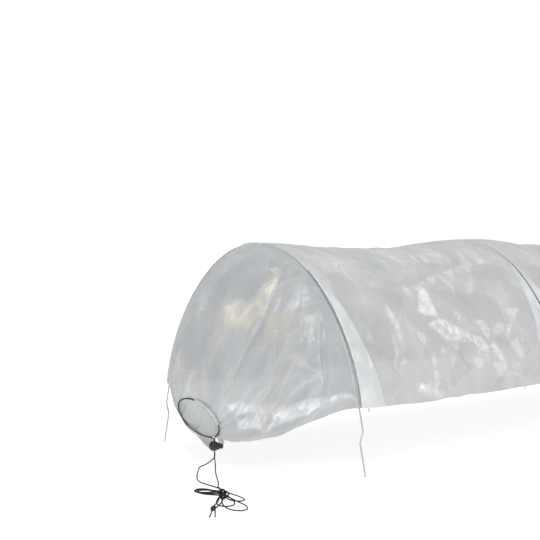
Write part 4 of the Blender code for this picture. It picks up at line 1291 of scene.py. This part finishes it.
# %% [markdown]
# A route's points are far enough apart to show as corners in a close view, so each cord gets a fine curve
# through the same points. Then every stretch is made as a tube as thick as the cord, and its length is
# printed.

# %% Lay the cords
for (word, hoop, lay), hank, straight_places, slack_places, arrivals in (
    (ENDS[0], LEFT_HANK, LEFT_STRAIGHT, LEFT_SLACK, len(STRAIGHT_ARRIVAL)),
    (ENDS[1], RIGHT_HANK, RIGHT_STRAIGHT, RIGHT_SLACK, 1),
):
    loops = hank_route(hank)
    wrap = wrap_route(hank)
    routes = {
        "drawcord": drawcord_route(),
        "cord_straight": tail_route(-1, straight_places, hank, STRAIGHT_ARRIVAL[-arrivals:], loops),
        "cord_hank": loops,
        "cord_slack": tail_route(1, slack_places, hank, SLACK_ARRIVAL[-arrivals - 1 :], wrap),
        "cord_wrap": wrap,
        "cord_end": second_end_route(hank, wrap),
    }
    for label, route in routes.items():
        fine = smooth_route([lay @ point for point in route], CORD_DIAMETER)
        length = route_length(fine)
        cord = add_tube(f"black_{label}_{word}", fine, CORD_DIAMETER)
        finish_piece(cord, f"hoop_group_{hoop}", make_cord_finish(length), f"{label}_{word}")
        print(f"{cord.name}: {length:.3f} m")

# %% [markdown]
# ## The cord locks
# A cord lock is a ball with a hole right through it and a spring button across the hole. The button's
# stem has a slot of its own. The spring holds the two slots out of line, so they pinch the cords. The
# ball is flat where the cords pass, and a collar guides the button.

# %% Name the lock's sizes
COLLAR_DIAMETER = 0.0125
COLLAR_REACH = 0.0102
BORE_DIAMETER = 0.0090
BORE_DEPTH = 0.0172
PLUNGER_DIAMETER = 0.0084
PLUNGER_TRAVEL = 0.003
PLUNGER_SLOT_LENGTH = 0.0062
PLUNGER_WALL = 0.0013
BUTTON_DIAMETER = 0.0104
BUTTON_LENGTH = 0.0034
SPRING_WIRE = 0.0005
SPRING_DIAMETER = 0.0062
SPRING_TURNS = 3
SPRING_STEPS = 24
CUT_OVERRUN = 0.002
BALL_EDGE = 0.00025
BUTTON_EDGE = 0.0002

# %% Mould the locks


def settled():
    """The new primitive, with its place, turn and size worked into its points."""
    piece = bpy.context.object
    bpy.ops.object.transform_apply(location=True, rotation=True, scale=True)
    return piece


def add_bar(start, stop, diameter):
    """A cylinder along X, made as a plain primitive."""
    bpy.ops.mesh.primitive_cylinder_add(
        vertices=48, radius=diameter / 2, depth=stop - start, location=((start + stop) / 2, 0, 0),
        rotation=(0, math.pi / 2, 0),
    )
    return settled()


def add_sphere(x, diameter, segments):
    bpy.ops.mesh.primitive_uv_sphere_add(
        segments=segments, ring_count=segments // 2, radius=diameter / 2, location=(x, 0, 0),
        rotation=(0, math.pi / 2, 0),
    )
    return settled()


def add_block(start, stop, width, height):
    place = ((start + stop) / 2, 0, 0)
    bpy.ops.mesh.primitive_cube_add(size=1, location=place, scale=(stop - start, width, height))
    return settled()


def combine(piece, tool, operation):
    """Applies a boolean with the tool and removes the tool."""
    change = piece.modifiers.new("cut", "BOOLEAN")
    change.operation = operation
    change.object = tool
    apply_modifiers(piece)
    bpy.data.objects.remove(tool)


def activate(piece):
    bpy.ops.object.select_all(action="DESELECT")
    piece.select_set(True)
    bpy.context.view_layer.objects.active = piece


def apply_modifiers(piece):
    activate(piece)
    for change in list(piece.modifiers):
        bpy.ops.object.modifier_apply(modifier=change.name)
    piece.select_set(False)


def soften(piece, width, angle=math.radians(40)):
    """A narrow rounded edge on every corner sharper than the angle."""
    edge = piece.modifiers.new("edge", "BEVEL")
    edge.width = width
    edge.segments = 2
    edge.limit_method = "ANGLE"
    edge.angle_limit = angle
    edge.harden_normals = False
    apply_modifiers(piece)
    activate(piece)
    bpy.ops.object.shade_smooth_by_angle(angle=angle)
    piece.select_set(False)


def mould_ball():
    ball = add_sphere(0, LOCK_DIAMETER, 64)
    for vertex in ball.data.vertices:
        vertex.co.z = max(-LOCK_HALF_HEIGHT, min(LOCK_HALF_HEIGHT, vertex.co.z))
    combine(ball, add_bar(0, COLLAR_REACH, COLLAR_DIAMETER), "UNION")
    bore = add_bar(COLLAR_REACH - BORE_DEPTH, COLLAR_REACH + CUT_OVERRUN, BORE_DIAMETER)
    combine(ball, bore, "DIFFERENCE")
    half = CORD_SLOT_LENGTH / 2
    combine(ball, add_block(-half, half, CORD_SLOT_WIDTH, LOCK_DIAMETER + CUT_OVERRUN), "DIFFERENCE")
    soften(ball, BALL_EDGE)
    return ball


def mould_button():
    start = COLLAR_REACH + PLUNGER_TRAVEL + SEAT_GAP
    stem = add_bar(PLUNGER_SLOT_START - PLUNGER_WALL, start + BUTTON_LENGTH / 2, PLUNGER_DIAMETER)
    cap = add_sphere(start, BUTTON_DIAMETER, 48)
    for vertex in cap.data.vertices:
        depth = max(0.0, vertex.co.x - start)
        vertex.co.x = start + depth * BUTTON_LENGTH / (BUTTON_DIAMETER / 2)
    combine(stem, cap, "UNION")
    slot_stop = PLUNGER_SLOT_START + PLUNGER_SLOT_LENGTH
    combine(stem, add_block(PLUNGER_SLOT_START, slot_stop, CORD_SLOT_WIDTH, LOCK_DIAMETER), "DIFFERENCE")
    soften(stem, BUTTON_EDGE)
    return stem


def spring_route(lay):
    start = COLLAR_REACH - BORE_DEPTH + SPRING_WIRE / 2 + SEAT_GAP
    stop = PLUNGER_SLOT_START - PLUNGER_WALL - SPRING_WIRE / 2 - SEAT_GAP
    radius = SPRING_DIAMETER / 2 - SPRING_WIRE / 2
    steps = SPRING_TURNS * SPRING_STEPS
    coil = []
    for index in range(steps + 1):
        angle = 2 * math.pi * index / SPRING_STEPS
        along = start + (stop - start) * index / steps
        coil.append(lay @ Vector((along, radius * math.cos(angle), radius * math.sin(angle))))
    return coil


for word, hoop, end_lay in ENDS:
    lay = end_lay @ lock_matrix()
    for piece, name, body, stands_for in (
        (mould_ball(), "lock_ball", "lock", "lock_body"),
        (mould_button(), "lock_button", "button", "lock_plunger"),
    ):
        piece.name = f"{name}_{word}"
        piece.data.transform(lay)
        finish_piece(piece, f"{body}_{word}", plastic, f"{stands_for}_{word}")
    coil = spring_route(lay)
    activate(add_tube(f"lock_coil_{word}", coil, SPRING_WIRE))
    bpy.ops.object.convert(target="MESH")
    spring = bpy.context.object
    spring.select_set(False)
    finish_piece(spring, f"lock_{word}", steel, f"lock_spring_{word}")
    way = lay.to_3x3() @ Vector((1, 0, 0))
    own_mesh(spring)

# %% [markdown]
# ## Light, ground and backdrop
# The picture is lit like a product photograph: a broad, bright light from the camera's side, a softer one
# from the right, and a broad one overhead, a little behind. The ground is nearly white and
# takes only a faint shadow. The world is plain white for the camera, but less bright as a light source,
# so that the film doesn't wash out.

# %% Stage and light it
bpy.ops.mesh.primitive_plane_add(size=30, location=(0, 0, 0))
floor = bpy.context.object
floor.name = "ground"
ground, ground_shader = new_material("ground", (0.55, 0.55, 0.55), 1.0)
ground_place = add_node(ground, "TexCoord").outputs["Object"]
ground_reach = add_node(ground, "VectorMath", {"operation": "LENGTH"}, Vector=ground_place).outputs["Value"]
ground_glow = rescale(ground, ground_reach, 1.5, 6.0, 0.70, 1.0)
feed(ground, ground_shader, Emission_Color=(1, 1, 1, 1), Emission_Strength=ground_glow)
feed(ground, ground_shader, Specular_IOR_Level=0.0)
floor.data.materials.append(ground)
floor.select_set(False)


def add_light(name, place, aim, size, watts, colour):
    bpy.ops.object.light_add(type="AREA", location=place)
    lamp = bpy.context.object
    lamp.name = name
    lamp.rotation_euler = (Vector(aim) - Vector(place)).to_track_quat("-Z", "Y").to_euler()
    lamp.data.shape = "RECTANGLE"
    lamp.data.size, lamp.data.size_y = size
    lamp.data.energy = watts
    lamp.data.color = colour
    lamp.select_set(False)


AIM = (-1.2, 0, 0.2)
add_light("key", (-3.6, -2.2, 2.6), AIM, (1.2, 0.9), 24, (1.0, 0.985, 0.96))
add_light("fill", (0.6, -3.4, 1.8), AIM, (1.4, 1.0), 26, (1.0, 0.99, 0.97))
add_light("top", (-0.2, 0.6, 3.2), (-0.4, 0, 0.2), (3.4, 1.8), 45, (1.0, 0.99, 0.97))

world = bpy.data.worlds.new("white_room")
bpy.context.scene.world = world
world.use_nodes = True
room = world.node_tree.nodes["Background"]
feed(world, room, Color=(0.93, 0.96, 1.0, 1), Strength=0.62)
seen = add_node(world, "Background", Color=(1, 1, 1, 1), Strength=1.0)
mix = add_node(world, "MixShader", Fac=add_node(world, "LightPath").outputs["Is Camera Ray"])
put_in(world, mix.inputs[1], room.outputs["Background"])
put_in(world, mix.inputs[2], seen.outputs["Background"])
feed(world, world.node_tree.nodes["World Output"], Surface=mix.outputs["Shader"])

# %% [markdown]
# ## Bounces and colour
# Film needs many transparent bounces, because a ray crosses layer after layer. The standard view shows
# each colour about as it is written.

# %% Set the bounces and the view
scene = bpy.context.scene
scene.cycles.max_bounces = 10
scene.cycles.transparent_max_bounces = 24
scene.view_settings.view_transform = "Standard"
